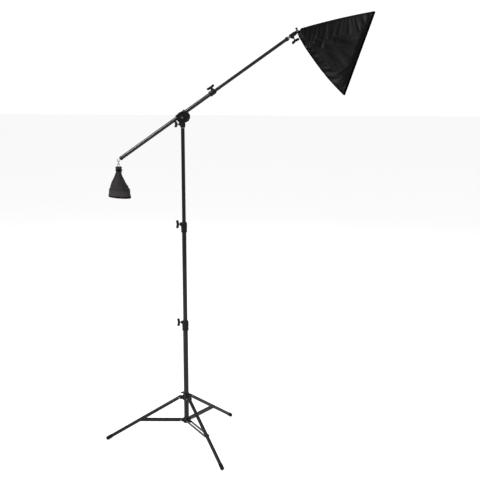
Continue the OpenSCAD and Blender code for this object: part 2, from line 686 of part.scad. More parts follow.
lower_tube();
base_hub();
hub_pins();
lower_collar();
lower_screw();
spider();
spider_pins();
spider_screw();
leg(0);  // leg_1
leg(1);  // leg_2
leg(2);  // leg_3
foot(0);  // foot_1
foot(1);  // foot_2
foot(2);  // foot_3
strut(0);  // strut_1
strut(1);  // strut_2
strut(2);  // strut_3
mid_tube();
mid_plug();
upper_collar();
upper_screw();
top_tube();
top_plug();
top_stud();
column_socket();
socket_screw();
tilt_bolt();
boom_cradle();
tilt_knob();
boom_outer_tube();
boom_end_cap();
boom_eye();
boom_collar();
boom_screw();
boom_inner_tube();
boom_plug();
boom_stud();
head_clamp();
head_screw();
head_pin();
head_lever();
lamp_holder();
lamp_socket();
cord_gland();
switch_button();
bulb_base();
bulb_glass();
rod_ring();
rods();
fabric_back();
fabric_top();
fabric_bottom();
fabric_near();
fabric_far();
rim_binding();
diffuser();
bag_hook();
bag_loop();
bag_body();
sand_fill();
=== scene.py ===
import json
import math

import bmesh
import bpy
import numpy as np
from bpy.props import FloatProperty, FloatVectorProperty, IntProperty, PointerProperty
from mathutils import Matrix, Vector, noise


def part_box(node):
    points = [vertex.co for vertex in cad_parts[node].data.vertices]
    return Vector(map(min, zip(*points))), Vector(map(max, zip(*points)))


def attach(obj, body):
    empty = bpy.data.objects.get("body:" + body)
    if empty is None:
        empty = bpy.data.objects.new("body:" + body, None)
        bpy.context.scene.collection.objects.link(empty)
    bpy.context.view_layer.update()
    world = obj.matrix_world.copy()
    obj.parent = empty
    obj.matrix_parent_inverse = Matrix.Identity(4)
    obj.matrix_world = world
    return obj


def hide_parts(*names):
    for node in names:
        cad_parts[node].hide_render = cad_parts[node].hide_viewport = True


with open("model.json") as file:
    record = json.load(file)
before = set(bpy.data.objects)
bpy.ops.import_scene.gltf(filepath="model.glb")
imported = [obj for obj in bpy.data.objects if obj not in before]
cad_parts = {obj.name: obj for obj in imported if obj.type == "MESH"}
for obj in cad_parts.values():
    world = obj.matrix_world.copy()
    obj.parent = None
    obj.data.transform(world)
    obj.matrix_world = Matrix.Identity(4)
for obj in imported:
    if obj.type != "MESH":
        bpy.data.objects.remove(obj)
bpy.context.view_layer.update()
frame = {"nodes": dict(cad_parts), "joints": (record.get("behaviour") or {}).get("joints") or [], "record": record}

bl_info = {
    "name": "Boom softbox finish",
    "version": (1, 0, 0),
    "blender": (4, 5, 0),
    "location": "3D View > Sidebar > Softbox",
    "description": "Fabric, hardware details and finishes of a softbox on a boom stand",
    "category": "Object",
}

JOINTS = {joint["name"]: joint for joint in frame["joints"]}
MM = 0.001
TAU = 2 * math.pi


# ---- places that come from the frame ----

def joint_place(name):
    """A joint's point and its unit axis."""
    joint = JOINTS[name]
    return Vector(joint.get("pos_m", (0, 0, 0))), Vector(joint["axis"]).normalized()


def frame_matrix(origin, x_axis, y_axis):
    """A right-handed frame from an origin and two axes."""
    x = Vector(x_axis).normalized()
    z = x.cross(Vector(y_axis)).normalized()
    y = z.cross(x)
    matrix = Matrix((x, y, z)).transposed().to_4x4()
    matrix.translation = origin
    return matrix


def node_points(node, matrix=Matrix.Identity(4)):
    """A CAD node's points seen from a frame, as rows."""
    back = matrix.inverted()
    return np.array([back @ vertex.co for vertex in frame["nodes"][node].data.vertices])


BOX_FRAME = frame_matrix(joint_place("head_tilt")[0], joint_place("switch_press")[1], (0, 1, 0))
BOOM_AXIS = joint_place("boom_slide")[1]
RIM_POINTS = node_points("rim_binding", BOX_FRAME)
TOP_POINTS = node_points("fabric_top", BOX_FRAME)
RIM_FRONT = float(RIM_POINTS[:, 0].max())
RIM_AT = float(RIM_POINTS[:, 0].min())
RIM_PROUD = 2 * MM
RIM_HALF_W = float(RIM_POINTS[:, 1].max()) - RIM_PROUD
RIM_HALF_H = float(RIM_POINTS[:, 2].max()) - RIM_PROUD
REAR_AT = float(TOP_POINTS[:, 0].min())
REAR_HALF = float(TOP_POINTS[TOP_POINTS[:, 0] < REAR_AT + MM][:, 2].max())


def bow_of(node, side, rim):
    """How far a panel's middle stands outside the straight line from its rear edge to the rim."""
    seen = node_points(node, BOX_FRAME)
    middle = seen[np.abs(seen[:, 0] - (REAR_AT + RIM_AT) / 2) < 2 * MM]
    return float((middle[:, 1:] @ np.array(side)).max()) - (REAR_HALF + rim) / 2


TOP_BOW = bow_of("fabric_top", (0, 1), RIM_HALF_H)
BOTTOM_BOW = bow_of("fabric_bottom", (0, -1), RIM_HALF_H)
SIDE_BOW = bow_of("fabric_far", (1, 0), RIM_HALF_W)
HOLDER_R = float(node_points("lamp_holder", BOX_FRAME)[:, 1].max())


# ---- settings ----

class FabricSettings(bpy.types.PropertyGroup):
    """Sizes of the softbox's sewn parts."""
    slack: FloatProperty(
        name="Slack", description="Spare length in the shell's cloth", default=0.006, min=0,
                         max=0.05)
    pull_in: FloatProperty(
        name="Pull in", description="How far a panel is drawn in between its rods",
        default=9 * MM, unit="LENGTH")
    fold_depth: FloatProperty(
        name="Fold depth", description="Depth of the soft folds that run along a panel",
        default=2.6 * MM, unit="LENGTH")
    crease_depth: FloatProperty(
        name="Crease depth", description="Height of the sharp creases left by folding the softbox",
        default=1.0 * MM, unit="LENGTH")
    band_width: FloatProperty(
        name="Band width", description="Width of the tape sewn around the mouth",
        default=24 * MM, unit="LENGTH")
    stitch: FloatProperty(
        name="Stitch", description="Length of one stitch", default=4.5 * MM, unit="LENGTH")
    rows: IntProperty(name="Rows", description="Rows of cloth along the depth", default=76, min=16,
                      max=120)
    columns: IntProperty(
        name="Columns", description="Columns of cloth across a panel", default=62, min=12, max=80)


class BagSettings(bpy.types.PropertyGroup):
    """Sizes of the counterweight bag's cloth."""
    pleats: IntProperty(name="Pleats", description="Gathers around the neck", default=15, min=6,
                        max=30)
    pleat_depth: FloatProperty(
        name="Pleat depth", description="Depth of a gather at the neck", default=3.4 * MM,
                               unit="LENGTH")
    sag: FloatProperty(
        name="Sag", description="How far the filled cloth bulges over its bottom seam",
        default=3 * MM, unit="LENGTH")


class ColourSettings(bpy.types.PropertyGroup):
    """Base colours."""
    paint: FloatVectorProperty(
        name="Paint", description="Black paint of the tubes", subtype="COLOR", size=3,
        default=(0.0028, 0.0028, 0.0031))
    plastic: FloatVectorProperty(
        name="Plastic", description="Black plastic of collars and knobs", subtype="COLOR", size=3,
        default=(0.0040, 0.0040, 0.0043))
    nylon: FloatVectorProperty(
        name="Nylon", description="Black outer cloth of the softbox", subtype="COLOR", size=3,
        default=(0.0022, 0.0022, 0.0024))
    silver: FloatVectorProperty(
        name="Silver", description="Lining of the softbox", subtype="COLOR", size=3,
        default=(0.72, 0.73, 0.75))
    bag: FloatVectorProperty(
        name="Bag cloth", description="Dark grey cloth of the bag", subtype="COLOR", size=3,
        default=(0.036, 0.033, 0.033))
    diffuser: FloatVectorProperty(
        name="Diffuser", description="White cloth of the diffuser", subtype="COLOR", size=3,
        default=(0.83, 0.83, 0.81))


class StageSettings(bpy.types.PropertyGroup):
    """Camera, floor and light."""
    camera_distance: FloatProperty(
        name="Camera distance", description="Level distance from the column", default=5.895,
                                   unit="LENGTH")
    camera_height: FloatProperty(
        name="Camera height", description="Height of the lens", default=2.413, unit="LENGTH")
    camera_bearing: FloatProperty(
        name="Bearing", description="Direction of the camera about the column",
        default=math.radians(-80), subtype="ANGLE")
    camera_heading: FloatProperty(
        name="Heading", description="Turn of the view away from the column",
        default=math.radians(-3.25), subtype="ANGLE")
    camera_fall: FloatProperty(
        name="Fall", description="How far the view looks down", default=math.radians(10.95),
                               subtype="ANGLE")
    camera_roll: FloatProperty(
        name="Roll", description="Roll of the camera", default=math.radians(-0.16), subtype="ANGLE")
    lens: FloatProperty(name="Lens", description="Focal length in millimetres", default=75.0)
    room_light: FloatProperty(name="Room light", description="Strength of the even light",
                              default=0.22)
    floor_size: FloatProperty(name="Floor size", description="Side of the floor", default=60.0,
                              unit="LENGTH")


# ---- shader node groups ----

def group_tree(name, inputs, outputs):
    """A shader node group with named sockets, and its input and output nodes."""
    tree = bpy.data.node_groups.new(name, "ShaderNodeTree")
    for label, kind, value in inputs:
        socket = tree.interface.new_socket(label, in_out="INPUT", socket_type=kind)
        if value is not None:
            socket.default_value = value
    for label, kind in outputs:
        tree.interface.new_socket(label, in_out="OUTPUT", socket_type=kind)
    return tree, tree.nodes.new("NodeGroupInput"), tree.nodes.new("NodeGroupOutput")


def math_node(tree, operation, first, second=None, third=None):
    """A Math node on sockets or numbers, and its output."""
    node = tree.nodes.new("ShaderNodeMath")
    node.operation = operation
    for index, value in enumerate((first, second, third)):
        if value is None:
            continue
        if isinstance(value, (int, float)):
            node.inputs[index].default_value = value
        else:
            tree.links.new(value, node.inputs[index])
    return node.outputs[0]


def ramp_node(tree, value, low, high):
    """A Map Range node from low..high to 0..1, clamped."""
    node = tree.nodes.new("ShaderNodeMapRange")
    node.inputs["From Min"].default_value = low
    node.inputs["From Max"].default_value = high
    tree.links.new(value, node.inputs["Value"])
    return node.outputs["Result"]


def noise_node(tree, vector, scale, detail=4.0, rough=0.55):
    """A noise texture's value."""
    node = tree.nodes.new("ShaderNodeTexNoise")
    node.inputs["Detail"].default_value = detail
    node.inputs["Roughness"].default_value = rough
    if isinstance(scale, (int, float)):
        node.inputs["Scale"].default_value = scale
    else:
        tree.links.new(scale, node.inputs["Scale"])
    tree.links.new(vector, node.inputs["Vector"])
    return node.outputs["Fac"]


def make_grain_group():
    """Fine surface grain and slow blotches."""
    tree, given, result = group_tree(
        "surface_grain",
        [("Vector", "NodeSocketVector", None), ("Grain", "NodeSocketFloat", 900.0),
         ("Blotch", "NodeSocketFloat", 9.0)],
        [("Height", "NodeSocketFloat"), ("Blotch", "NodeSocketFloat")])
    fine = noise_node(tree, given.outputs["Vector"], given.outputs["Grain"], 3.0)
    slow = noise_node(tree, given.outputs["Vector"], given.outputs["Blotch"], 5.0, 0.62)
    tree.links.new(fine, result.inputs["Height"])
    tree.links.new(ramp_node(tree, slow, 0.32, 0.68), result.inputs["Blotch"])
    return tree


def make_wear_group():
    """A mask of rubbed edges, broken up by noise."""
    tree, given, result = group_tree(
        "edge_wear",
        [("Vector", "NodeSocketVector", None), ("Amount", "NodeSocketFloat", 0.5)],
        [("Mask", "NodeSocketFloat")])
    geometry = tree.nodes.new("ShaderNodeNewGeometry")
    edge = ramp_node(tree, geometry.outputs["Pointiness"], 0.52, 0.60)
    broken = ramp_node(tree, noise_node(tree, given.outputs["Vector"], 160.0, 6.0, 0.7), 0.42, 0.62)
    mask = math_node(tree, "MULTIPLY", edge, broken)
    tree.links.new(math_node(tree, "MULTIPLY", mask, given.outputs["Amount"]),
                   result.inputs["Mask"])
    return tree


def make_weave_group():
    """Plain weave from two crossing sets of threads, with painted shade in the grooves between the threads that
    run one way.
    """
    tree, given, result = group_tree(
        "plain_weave",
        [("Vector", "NodeSocketVector", None), ("Threads", "NodeSocketFloat", 1200.0)],
        [("Height", "NodeSocketFloat"), ("Painted thread shade", "NodeSocketFloat")])
    split = tree.nodes.new("ShaderNodeSeparateXYZ")
    tree.links.new(given.outputs["Vector"], split.inputs[0])
    waves = []
    for axis in "XY":
        turns = math_node(tree, "MULTIPLY", split.outputs[axis], given.outputs["Threads"])
        waves.append(math_node(tree, "SINE", math_node(tree, "MULTIPLY", turns, math.pi)))
    product = math_node(tree, "MULTIPLY", waves[0], waves[1])
    over = math_node(tree, "MULTIPLY_ADD", product, 0.5, 0.5)
    tree.links.new(over, result.inputs["Height"])
    # painted shade: darkest where each thread of one way curves down into the groove beside the next
    thread = math_node(tree, "ABSOLUTE", waves[0])
    tree.links.new(math_node(tree, "MULTIPLY_ADD", thread, 0.35, 0.65), result.inputs["Painted thread shade"])
    return tree


def make_dust_group():
    """Light dust on what faces up."""
    tree, given, result = group_tree(
        "settled_dust",
        [("Vector", "NodeSocketVector", None), ("Amount", "NodeSocketFloat", 0.15)],
        [("Mask", "NodeSocketFloat")])
    geometry = tree.nodes.new("ShaderNodeNewGeometry")
    split = tree.nodes.new("ShaderNodeSeparateXYZ")
    tree.links.new(geometry.outputs["Normal"], split.inputs[0])
    up = ramp_node(tree, split.outputs["Z"], 0.35, 1.0)
    specks = ramp_node(tree, noise_node(tree, given.outputs["Vector"], 70.0, 8.0, 0.7), 0.40, 0.75)
    mask = math_node(tree, "MULTIPLY", up, specks)
    tree.links.new(math_node(tree, "MULTIPLY", mask, given.outputs["Amount"]),
                   result.inputs["Mask"])
    return tree


class Finish:
    """One Principled material under construction."""

    def __init__(self, name, coords="Object"):
        self.material = bpy.data.materials.new(name)
        self.material.use_nodes = True
        self.tree = self.material.node_tree
        self.shader = self.tree.nodes["Principled BSDF"]
        self.vector = self.tree.nodes.new("ShaderNodeTexCoord").outputs[coords]

    def group(self, name, **values):
        node = self.tree.nodes.new("ShaderNodeGroup")
        node.node_tree = bpy.data.node_groups[name]
        self.tree.links.new(self.vector, node.inputs["Vector"])
        for label, value in values.items():
            node.inputs[label].default_value = value
        return node.outputs

    def fixed(self, **values):
        for label, value in values.items():
            self.shader.inputs[label.replace("_", " ")].default_value = value
        return self

    def mix(self, mask, low, high):
        """A colour between two, by a mask. Each of the two is a colour or a socket."""
        node = self.tree.nodes.new("ShaderNodeMix")
        node.data_type = "RGBA"
        self.tree.links.new(mask, node.inputs["Factor"])
        for socket, value in ((node.inputs["A"], low), (node.inputs["B"], high)):
            if hasattr(value, "is_linked"):
                self.tree.links.new(value, socket)
            else:
                socket.default_value = (*value[:3], 1)
        return node.outputs["Result"]

    def between(self, mask, low, high):
        """A number between low and high, by a mask."""
        node = self.tree.nodes.new("ShaderNodeMapRange")
        node.inputs["To Min"].default_value = low
        node.inputs["To Max"].default_value = high
        self.tree.links.new(mask, node.inputs["Value"])
        return node.outputs["Result"]

    def colour(self, socket):
        self.tree.links.new(socket, self.shader.inputs["Base Color"])

    def roughness(self, socket):
        self.tree.links.new(socket, self.shader.inputs["Roughness"])

    def bump(self, *layers):
        """Bump layers as (height, strength, distance), one over the other."""
        normal = None
        for height, strength, distance in layers:
            node = self.tree.nodes.new("ShaderNodeBump")
            node.inputs["Strength"].default_value = strength
            node.inputs["Distance"].default_value = distance
            self.tree.links.new(height, node.inputs["Height"])
            if normal:
                self.tree.links.new(normal, node.inputs["Normal"])
            normal = node.outputs["Normal"]
        self.tree.links.new(normal, self.shader.inputs["Normal"])


def lighter(colour, factor):
    return tuple(min(1.0, value * factor) for value in colour)


def coated_black(name, colour, grain, low, high, wear, grain_depth=0.05 * MM, gloss=0.0):
    """Black paint or black moulded plastic: grain, handling marks, rubbed edges and a little dust."""
    finish = Finish(name)
    surface = finish.group("surface_grain", Grain=grain)
    worn = finish.group("edge_wear", Amount=wear)["Mask"]
    dusty = finish.group("settled_dust", Amount=0.10)["Mask"]
    body = finish.mix(surface["Blotch"], colour, lighter(colour, 1.9))
    rubbed = finish.mix(worn, body, (0.06, 0.06, 0.062))
    finish.colour(finish.mix(dusty, rubbed, (0.10, 0.098, 0.094)))
    finish.fixed(Specular_IOR_Level=0.3, Coat_Weight=gloss, Coat_Roughness=0.09)
    finish.roughness(finish.between(surface["Blotch"], low, high))
    finish.bump((surface["Height"], 0.5, grain_depth))
    return finish.material


def metal(name, colour, low, high, grain=600.0):
    """Plated or drawn metal with fine scratches."""
    finish = Finish(name)
    surface = finish.group("surface_grain", Grain=grain, Blotch=30.0)
    finish.fixed(Metallic=1.0)
    finish.colour(finish.mix(surface["Blotch"], colour, lighter(colour, 0.82)))
    finish.roughness(finish.between(surface["Blotch"], low, high))
    finish.bump((surface["Height"], 0.25, 0.02 * MM))
    return finish.material


def cloth(name, colour, threads, low, high, sheen, fade=1.7, thread_depth=0.12 * MM, dust=0.06,
          shine=0.3):
    """Woven cloth in its own lengths, with a slight fade and sheen."""
    finish = Finish(name, "UV")
    woven = finish.group("plain_weave", Threads=threads)
    surface = finish.group("surface_grain", Grain=350.0, Blotch=14.0)
    dusty = finish.group("settled_dust", Amount=dust)["Mask"]
    faded = finish.mix(surface["Blotch"], colour, lighter(colour, fade))
    # painted shade: the cloth colour darkens towards 0.55 of itself in the grooves between threads
    painted_thread_shading = finish.mix(woven["Painted thread shade"], lighter(colour, 0.55), faded)
    finish.colour(finish.mix(dusty, painted_thread_shading, (0.12, 0.115, 0.11)))
    finish.roughness(finish.between(surface["Blotch"], low, high))
    finish.fixed(Sheen_Weight=sheen, Sheen_Roughness=0.45, Specular_IOR_Level=shine)
    finish.bump((surface["Height"], 0.2, 0.3 * MM), (woven["Height"], 0.6, thread_depth))
    return finish.material


def make_finishes(colours):
    """Every material, by slot name."""
    made = {
        "painted_tube": coated_black("painted_tube", colours.paint, 1400.0, 0.27, 0.40, 0.7,
                                     0.02 * MM, 0.7),
        "cast_black": coated_black("cast_black", colours.paint, 700.0, 0.38, 0.55, 0.8, 0.12 * MM,
                                   0.2),
        "black_plastic": coated_black(
            "black_plastic", colours.plastic, 1100.0, 0.36, 0.52, 0.35, 0.06 * MM, 0.2),
        "rubber": coated_black("rubber", lighter(colours.plastic, 1.3), 900.0, 0.62, 0.8, 0.15,
                               0.1 * MM),
        "bright_steel": metal("bright_steel", (0.66, 0.67, 0.69), 0.14, 0.30),
        "spring_steel": metal("spring_steel", (0.42, 0.43, 0.45), 0.26, 0.42, 1500.0),
        "lamp_base": metal("lamp_base", (0.75, 0.74, 0.72), 0.22, 0.38),
        "black_nylon": cloth(
            "black_nylon", colours.nylon, 1500.0, 0.34, 0.46, 0.0, 1.6, 0.05 * MM, 0.004, 0.13),
        "black_webbing": cloth(
            "black_webbing", lighter(colours.nylon, 1.2), 700.0, 0.72, 0.88, 0.0, 1.5, 0.2 * MM,
                               0.004, 0.05),
        "bag_cloth": cloth("bag_cloth", colours.bag, 900.0, 0.6, 0.78, 0.05, 1.5, 0.15 * MM, 0.05),
        "bag_band": cloth("bag_band", lighter(colours.bag, 1.7), 900.0, 0.6, 0.8, 0.05, 1.3,
                          0.15 * MM, 0.05),
        "white_nylon": cloth("white_nylon", colours.diffuser, 1600.0, 0.5, 0.65, 0.2, 1.05,
                             0.04 * MM, 0.02),
    }
    lining = Finish("silver_lining", "UV")
    surface = lining.group("surface_grain", Grain=260.0, Blotch=40.0)
    lining.fixed(Metallic=0.9)
    lining.colour(lining.mix(surface["Blotch"], colours.silver, lighter(colours.silver, 0.86)))
    lining.roughness(lining.between(surface["Blotch"], 0.30, 0.46))
    lining.bump((surface["Height"], 0.6, 0.5 * MM))
    made["silver_lining"] = lining.material

    ceramic = Finish("ceramic")
    surface = ceramic.group("surface_grain", Grain=300.0, Blotch=50.0)
    ceramic.fixed(Coat_Weight=0.6, Coat_Roughness=0.08)
    ceramic.colour(ceramic.mix(surface["Blotch"], (0.80, 0.77, 0.70), (0.72, 0.69, 0.62)))
    ceramic.roughness(ceramic.between(surface["Blotch"], 0.18, 0.3))
    ceramic.bump((surface["Height"], 0.2, 0.05 * MM))
    made["ceramic"] = ceramic.material

    opal = Finish("opal")
    surface = opal.group("surface_grain", Grain=200.0, Blotch=20.0)
    opal.fixed(Coat_Weight=0.4, Coat_Roughness=0.05, Subsurface_Weight=0.2)
    opal.colour(opal.mix(surface["Blotch"], (0.90, 0.90, 0.87), (0.84, 0.84, 0.80)))
    opal.roughness(opal.between(surface["Blotch"], 0.12, 0.2))
    opal.bump((surface["Height"], 0.1, 0.03 * MM))
    made["opal"] = opal.material

    sand = Finish("sand")
    surface = sand.group("surface_grain", Grain=900.0, Blotch=120.0)
    sand.colour(sand.mix(surface["Blotch"], (0.42, 0.33, 0.20), (0.62, 0.52, 0.36)))
    sand.roughness(sand.between(surface["Height"], 0.75, 0.95))
    sand.bump((surface["Height"], 0.9, 0.6 * MM))
    made["sand"] = sand.material
    return made


FINISHES = {}


# ---- mesh helpers ----

def mesh_piece(name, points, faces, finish, body, smooth=True, uv=None):
    """A mesh object in the row frame, with a material, riding on a body."""
    mesh = bpy.data.meshes.new(name)
    mesh.from_pydata([tuple(p) for p in points], [], faces)
    mesh.validate()
    if uv is not None:
        layer = mesh.uv_layers.new(name="lengths")
        for loop in mesh.loops:
            layer.data[loop.index].uv = uv[loop.vertex_index]
    mesh.shade_smooth() if smooth else mesh.shade_flat()
    piece = bpy.data.objects.new(name, mesh)
    bpy.context.scene.collection.objects.link(piece)
    piece.data.materials.append(FINISHES[finish])
    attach(piece, body)
    return piece


def grid_faces(rows, columns, closed):
    """Quads of a grid of rows by columns, joined around when closed."""
    last = columns if closed else columns - 1
    return [(r * columns + c, r * columns + (c + 1) % columns,
             (r + 1) * columns + (c + 1) % columns, (r + 1) * columns + c)
            for r in range(rows - 1) for c in range(last)]


def end_caps(rows, columns):
    """The two faces that close a tube of rings."""
    return [tuple(reversed(range(columns))), tuple(range((rows - 1) * columns, rows * columns))]


def on_circle(radius, share, height=0.0):
    """The point at a share of the way around a circle."""
    angle = TAU * share
    return Vector((radius * math.cos(angle), radius * math.sin(angle), height))


def lathe(profile, sides=48):
    """Points and faces of a turned solid: profile is (radius, height), the ends closed on the axis."""
    points = []
    for radius, height in profile:
        for side in range(sides):
            points.append(on_circle(radius, side / sides, height))
    return points, grid_faces(len(profile), sides, True) + end_caps(len(profile), sides)


def sweep(path, radius, sides=10, closed=False):
    """Points and faces of a round bar along a path. The radius is a number or a function of the share."""
    path = [Vector(p) for p in path]
    count = len(path)
    points, side_way = [], None
    for i, p in enumerate(path):
        before = path[(i - 1) % count] if closed or i else p
        after = path[(i + 1) % count] if closed or i < count - 1 else p
        along = (after - before).normalized()
        if side_way is None:
            across = along.cross(Vector((0, 0, 1)))
            if across.length < 1e-4:
                across = along.cross(Vector((1, 0, 0)))
        else:
            across = side_way - along * side_way.dot(along)
        across.normalize()
        side_way = across
        lift = across.cross(along)
        r = radius(i / (count - 1)) if callable(radius) else radius
        for s in range(sides):
            angle = TAU * s / sides
            points.append(p + across * (r * math.cos(angle)) + lift * (r * math.sin(angle)))
    rings = count if closed else count - 1
    faces = []
    for i in range(rings):
        for s in range(sides):
            a, b = i * sides, ((i + 1) % count) * sides
            faces.append((a + s, a + (s + 1) % sides, b + (s + 1) % sides, b + s))
    if not closed:
        faces += end_caps(count, sides)
    return points, faces


def merge(parts):
    """Several (points, faces) in one."""
    points, faces = [], []
    for part_points, part_faces in parts:
        base = len(points)
        points += list(part_points)
        faces += [tuple(base + i for i in face) for face in part_faces]
    return points, faces


def moved(part, matrix):
    points, faces = part
    return [matrix @ Vector(p) for p in points], faces


def soften(piece, width, segments=3, angle=35):
    """Rounded edges on a hard piece."""
    bevel = piece.modifiers.new("rounding", "BEVEL")
    bevel.width = width
    bevel.segments = segments
    bevel.angle_limit = math.radians(angle)
    bevel.harden_normals = False
    return piece


def recalculated(piece):
    """Normals turned outwards."""
    work = bmesh.new()
    work.from_mesh(piece.data)
    bmesh.ops.recalc_face_normals(work, faces=work.faces)
    work.to_mesh(piece.data)
    work.free()
    piece.data.update()
    return piece


def settle(piece, held, frames, slack, gravity, cap):
    """Lets cloth find its shape, keeps every point within cap of where it began, and applies it."""
    start = np.array([v.co for v in piece.data.vertices])
    group = piece.vertex_groups.new(name="held")
    for index, weight in held.items():
        group.add([index], weight, "REPLACE")
    cloth_mod = piece.modifiers.new("settle", "CLOTH")
    rules = cloth_mod.settings
    rules.quality = 5
    rules.mass = 0.12
    rules.tension_stiffness = 60
    rules.compression_stiffness = 12
    rules.shear_stiffness = 8
    rules.bending_stiffness = 0.35
    rules.air_damping = 4
    rules.vertex_group_mass = "held"
    rules.shrink_min = -slack
    rules.effector_weights.gravity = gravity
    cloth_mod.collision_settings.use_collision = False
    cloth_mod.point_cache.frame_start = 1
    cloth_mod.point_cache.frame_end = frames
    scene = bpy.context.scene
    for number in range(1, frames + 1):
        scene.frame_set(number)
    seen = piece.evaluated_get(bpy.context.evaluated_depsgraph_get())
    shown = seen.to_mesh()
    end = np.array([v.co for v in shown.vertices])
    seen.to_mesh_clear()
    piece.modifiers.remove(cloth_mod)
    piece.vertex_groups.remove(group)
    scene.frame_set(1)
    step = end - start
    length = np.linalg.norm(step, axis=1, keepdims=True)
    step *= np.minimum(1, cap / np.maximum(length, 1e-9))
    piece.data.vertices.foreach_set("co", (start + step).ravel())
    piece.data.update()


# ---- the softbox ----

def half_at(share, rim, bow):
    """Half size of the shell at a share of its depth."""
    return REAR_HALF + (rim - REAR_HALF) * share + bow * 4 * share * (1 - share)


def depth_at(share):
    return REAR_AT + (RIM_AT - REAR_AT) * share


def width_at(share):
    return half_at(share, RIM_HALF_W, SIDE_BOW)


def height_at(share, way):
    """Height of the upper or the lower panel, way 1 or -1, over the axis."""
    return half_at(share, RIM_HALF_H, TOP_BOW if way > 0 else BOTTOM_BOW)


def shell_point(share, across, side, out=0.0):
    """A point on the taut shell, in the box frame. side is the panel's outward way, (width, height)."""
    depth = depth_at(share)
    if side[1]:
        return Vector((depth, across * width_at(share),
                       side[1] * (height_at(share, side[1]) + out)))
    low, high = -height_at(share, -1), height_at(share, 1)
    return Vector((depth, side[0] * (width_at(share) + out), low + (high - low) * (across + 1) / 2))


def panel_span(share, side):
    """Half of a panel's breadth at a share of the depth."""
    return width_at(share) if side[1] else (height_at(share, 1) + height_at(share, -1)) / 2


def ridge_point(share, wide_side, high_side, out=0.0):
    return Vector((depth_at(share), wide_side * (width_at(share) + out),
                   high_side * (height_at(share, high_side) + out)))


PANELS = {"top": (0, 1), "bottom": (0, -1), "near": (-1, 0), "far": (1, 0)}
PANEL_NODES = {name: "fabric_" + name for name in PANELS}
RIDGES = [(w, h) for w in (-1, 1) for h in (-1, 1)]
SPAN_SHARE = 0.985


def panel_rise(share, across, fabric, seed):
    """How far the cloth stands off the taut shell: drawn in between the rods, with soft folds."""
    between = (1 - across * across) ** 0.8
    along = math.sin(math.pi * min(1, share * 1.02)) ** 0.7 if 0 < share < 0.98 else 0
    fan = noise.noise(Vector((across * 5.0, share * 1.1, seed)))
    slant = noise.noise(Vector((across * 3.4 + share * 4.2, share * 1.6 - across, seed + 7)))
    cross = noise.noise(Vector((across * 3.4 - share * 4.0, share * 1.5 + across, seed + 19)))
    folds = fabric.fold_depth * (1.5 * fan + 1.2 * slant + 1.2 * cross)
    creases = 0.0
    for run, turn in ((1.6, 11), (-1.9, 23), (0.4, 37)):
        line = noise.noise(Vector((across * 3.1 + share * run, share * 0.9 - across * 0.3,
                                   seed + turn)))
        creases += max(0.0, 1 - abs(line) * 7)
    return (between ** 0.6 * (folds + fabric.crease_depth * creases) - fabric.pull_in * between) * along


def make_panel(name, side, fabric, seed):
    """One sewn panel: black nylon outside and silver lining inside."""
    rows, columns = fabric.rows, fabric.columns
    points, lengths = [], []
    for r in range(rows):
        share = r / (rows - 1)
        for c in range(columns):
            across = -1 + 2 * c / (columns - 1)
            rise = panel_rise(share, across, fabric, seed)
            point = shell_point(share, across * SPAN_SHARE if share < 0.02 else across, side, rise)
            points.append(BOX_FRAME @ point)
            lengths.append((across * panel_span(share, side), share * (RIM_AT - REAR_AT) * 1.15))
    faces = grid_faces(rows, columns, False)
    a, b, c = (points[i] for i in faces[len(faces) // 2][:3])
    outward = BOX_FRAME.to_3x3() @ Vector((0, side[0], side[1]))
    if (b - a).cross(c - a).dot(outward) < 0:
        faces = [tuple(reversed(face)) for face in faces]
    piece = mesh_piece("shell_" + name, points, faces, "black_nylon", "lamp", uv=lengths)
    piece.data.materials.append(FINISHES["silver_lining"])
    held = {i: 1.0 for i in range(rows * columns)
            if i // columns in (0, rows - 1) or i % columns in (0, columns - 1)}
    settle(piece, held, 16, fabric.slack, 0.35, 7 * MM)
    finer = piece.modifiers.new("smooth", "SUBSURF")
    finer.levels = finer.render_levels = 1
    skin = piece.modifiers.new("lining", "SOLIDIFY")
    skin.thickness = 0.8 * MM
    skin.offset = -1
    skin.material_offset = 1
    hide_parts(PANEL_NODES[name])
    return piece


def stitch_row(piece_points, normals, length, wide=0.55 * MM, proud=0.25 * MM):
    """Stitches as small raised capsules along a line of points."""
    parts = []
    travel = 0.0
    for i in range(len(piece_points) - 1):
        start, end = piece_points[i], piece_points[i + 1]
        travel += (end - start).length
        if travel < length:
            continue
        travel = 0.0
        along = (end - start).normalized()
        up = normals[i].normalized()
        over = along.cross(up).normalized()
        centre = start + up * proud * 0.4
        reach = length * 0.36
        ring = [(-reach, 0, 0), (-reach * 0.6, wide, 0), (reach * 0.6, wide, 0), (reach, 0, 0),
                (reach * 0.6, -wide, 0), (-reach * 0.6, -wide, 0), (-reach * 0.4, 0, proud * 1.6),
                (reach * 0.4, 0, proud * 1.6)]
        points = [centre + along * x + over * y + up * z for x, y, z in ring]
        faces = [(0, 1, 6), (1, 2, 7, 6), (2, 3, 7), (3, 4, 7), (4, 5, 6, 7), (5, 0, 6),
                 (0, 5, 4, 3, 2, 1)]
        parts.append((points, faces))
    return merge(parts)


def surface_line(piece, line, lift):
    """The points of a line brought onto a piece's mesh, with the mesh's normals."""
    found, normals = [], []
    for point in line:
        _, place, normal, _ = piece.closest_point_on_mesh(piece.matrix_world.inverted() @ point)
        found.append(piece.matrix_world @ (place + normal * lift))
        normals.append(normal)
    return found, normals


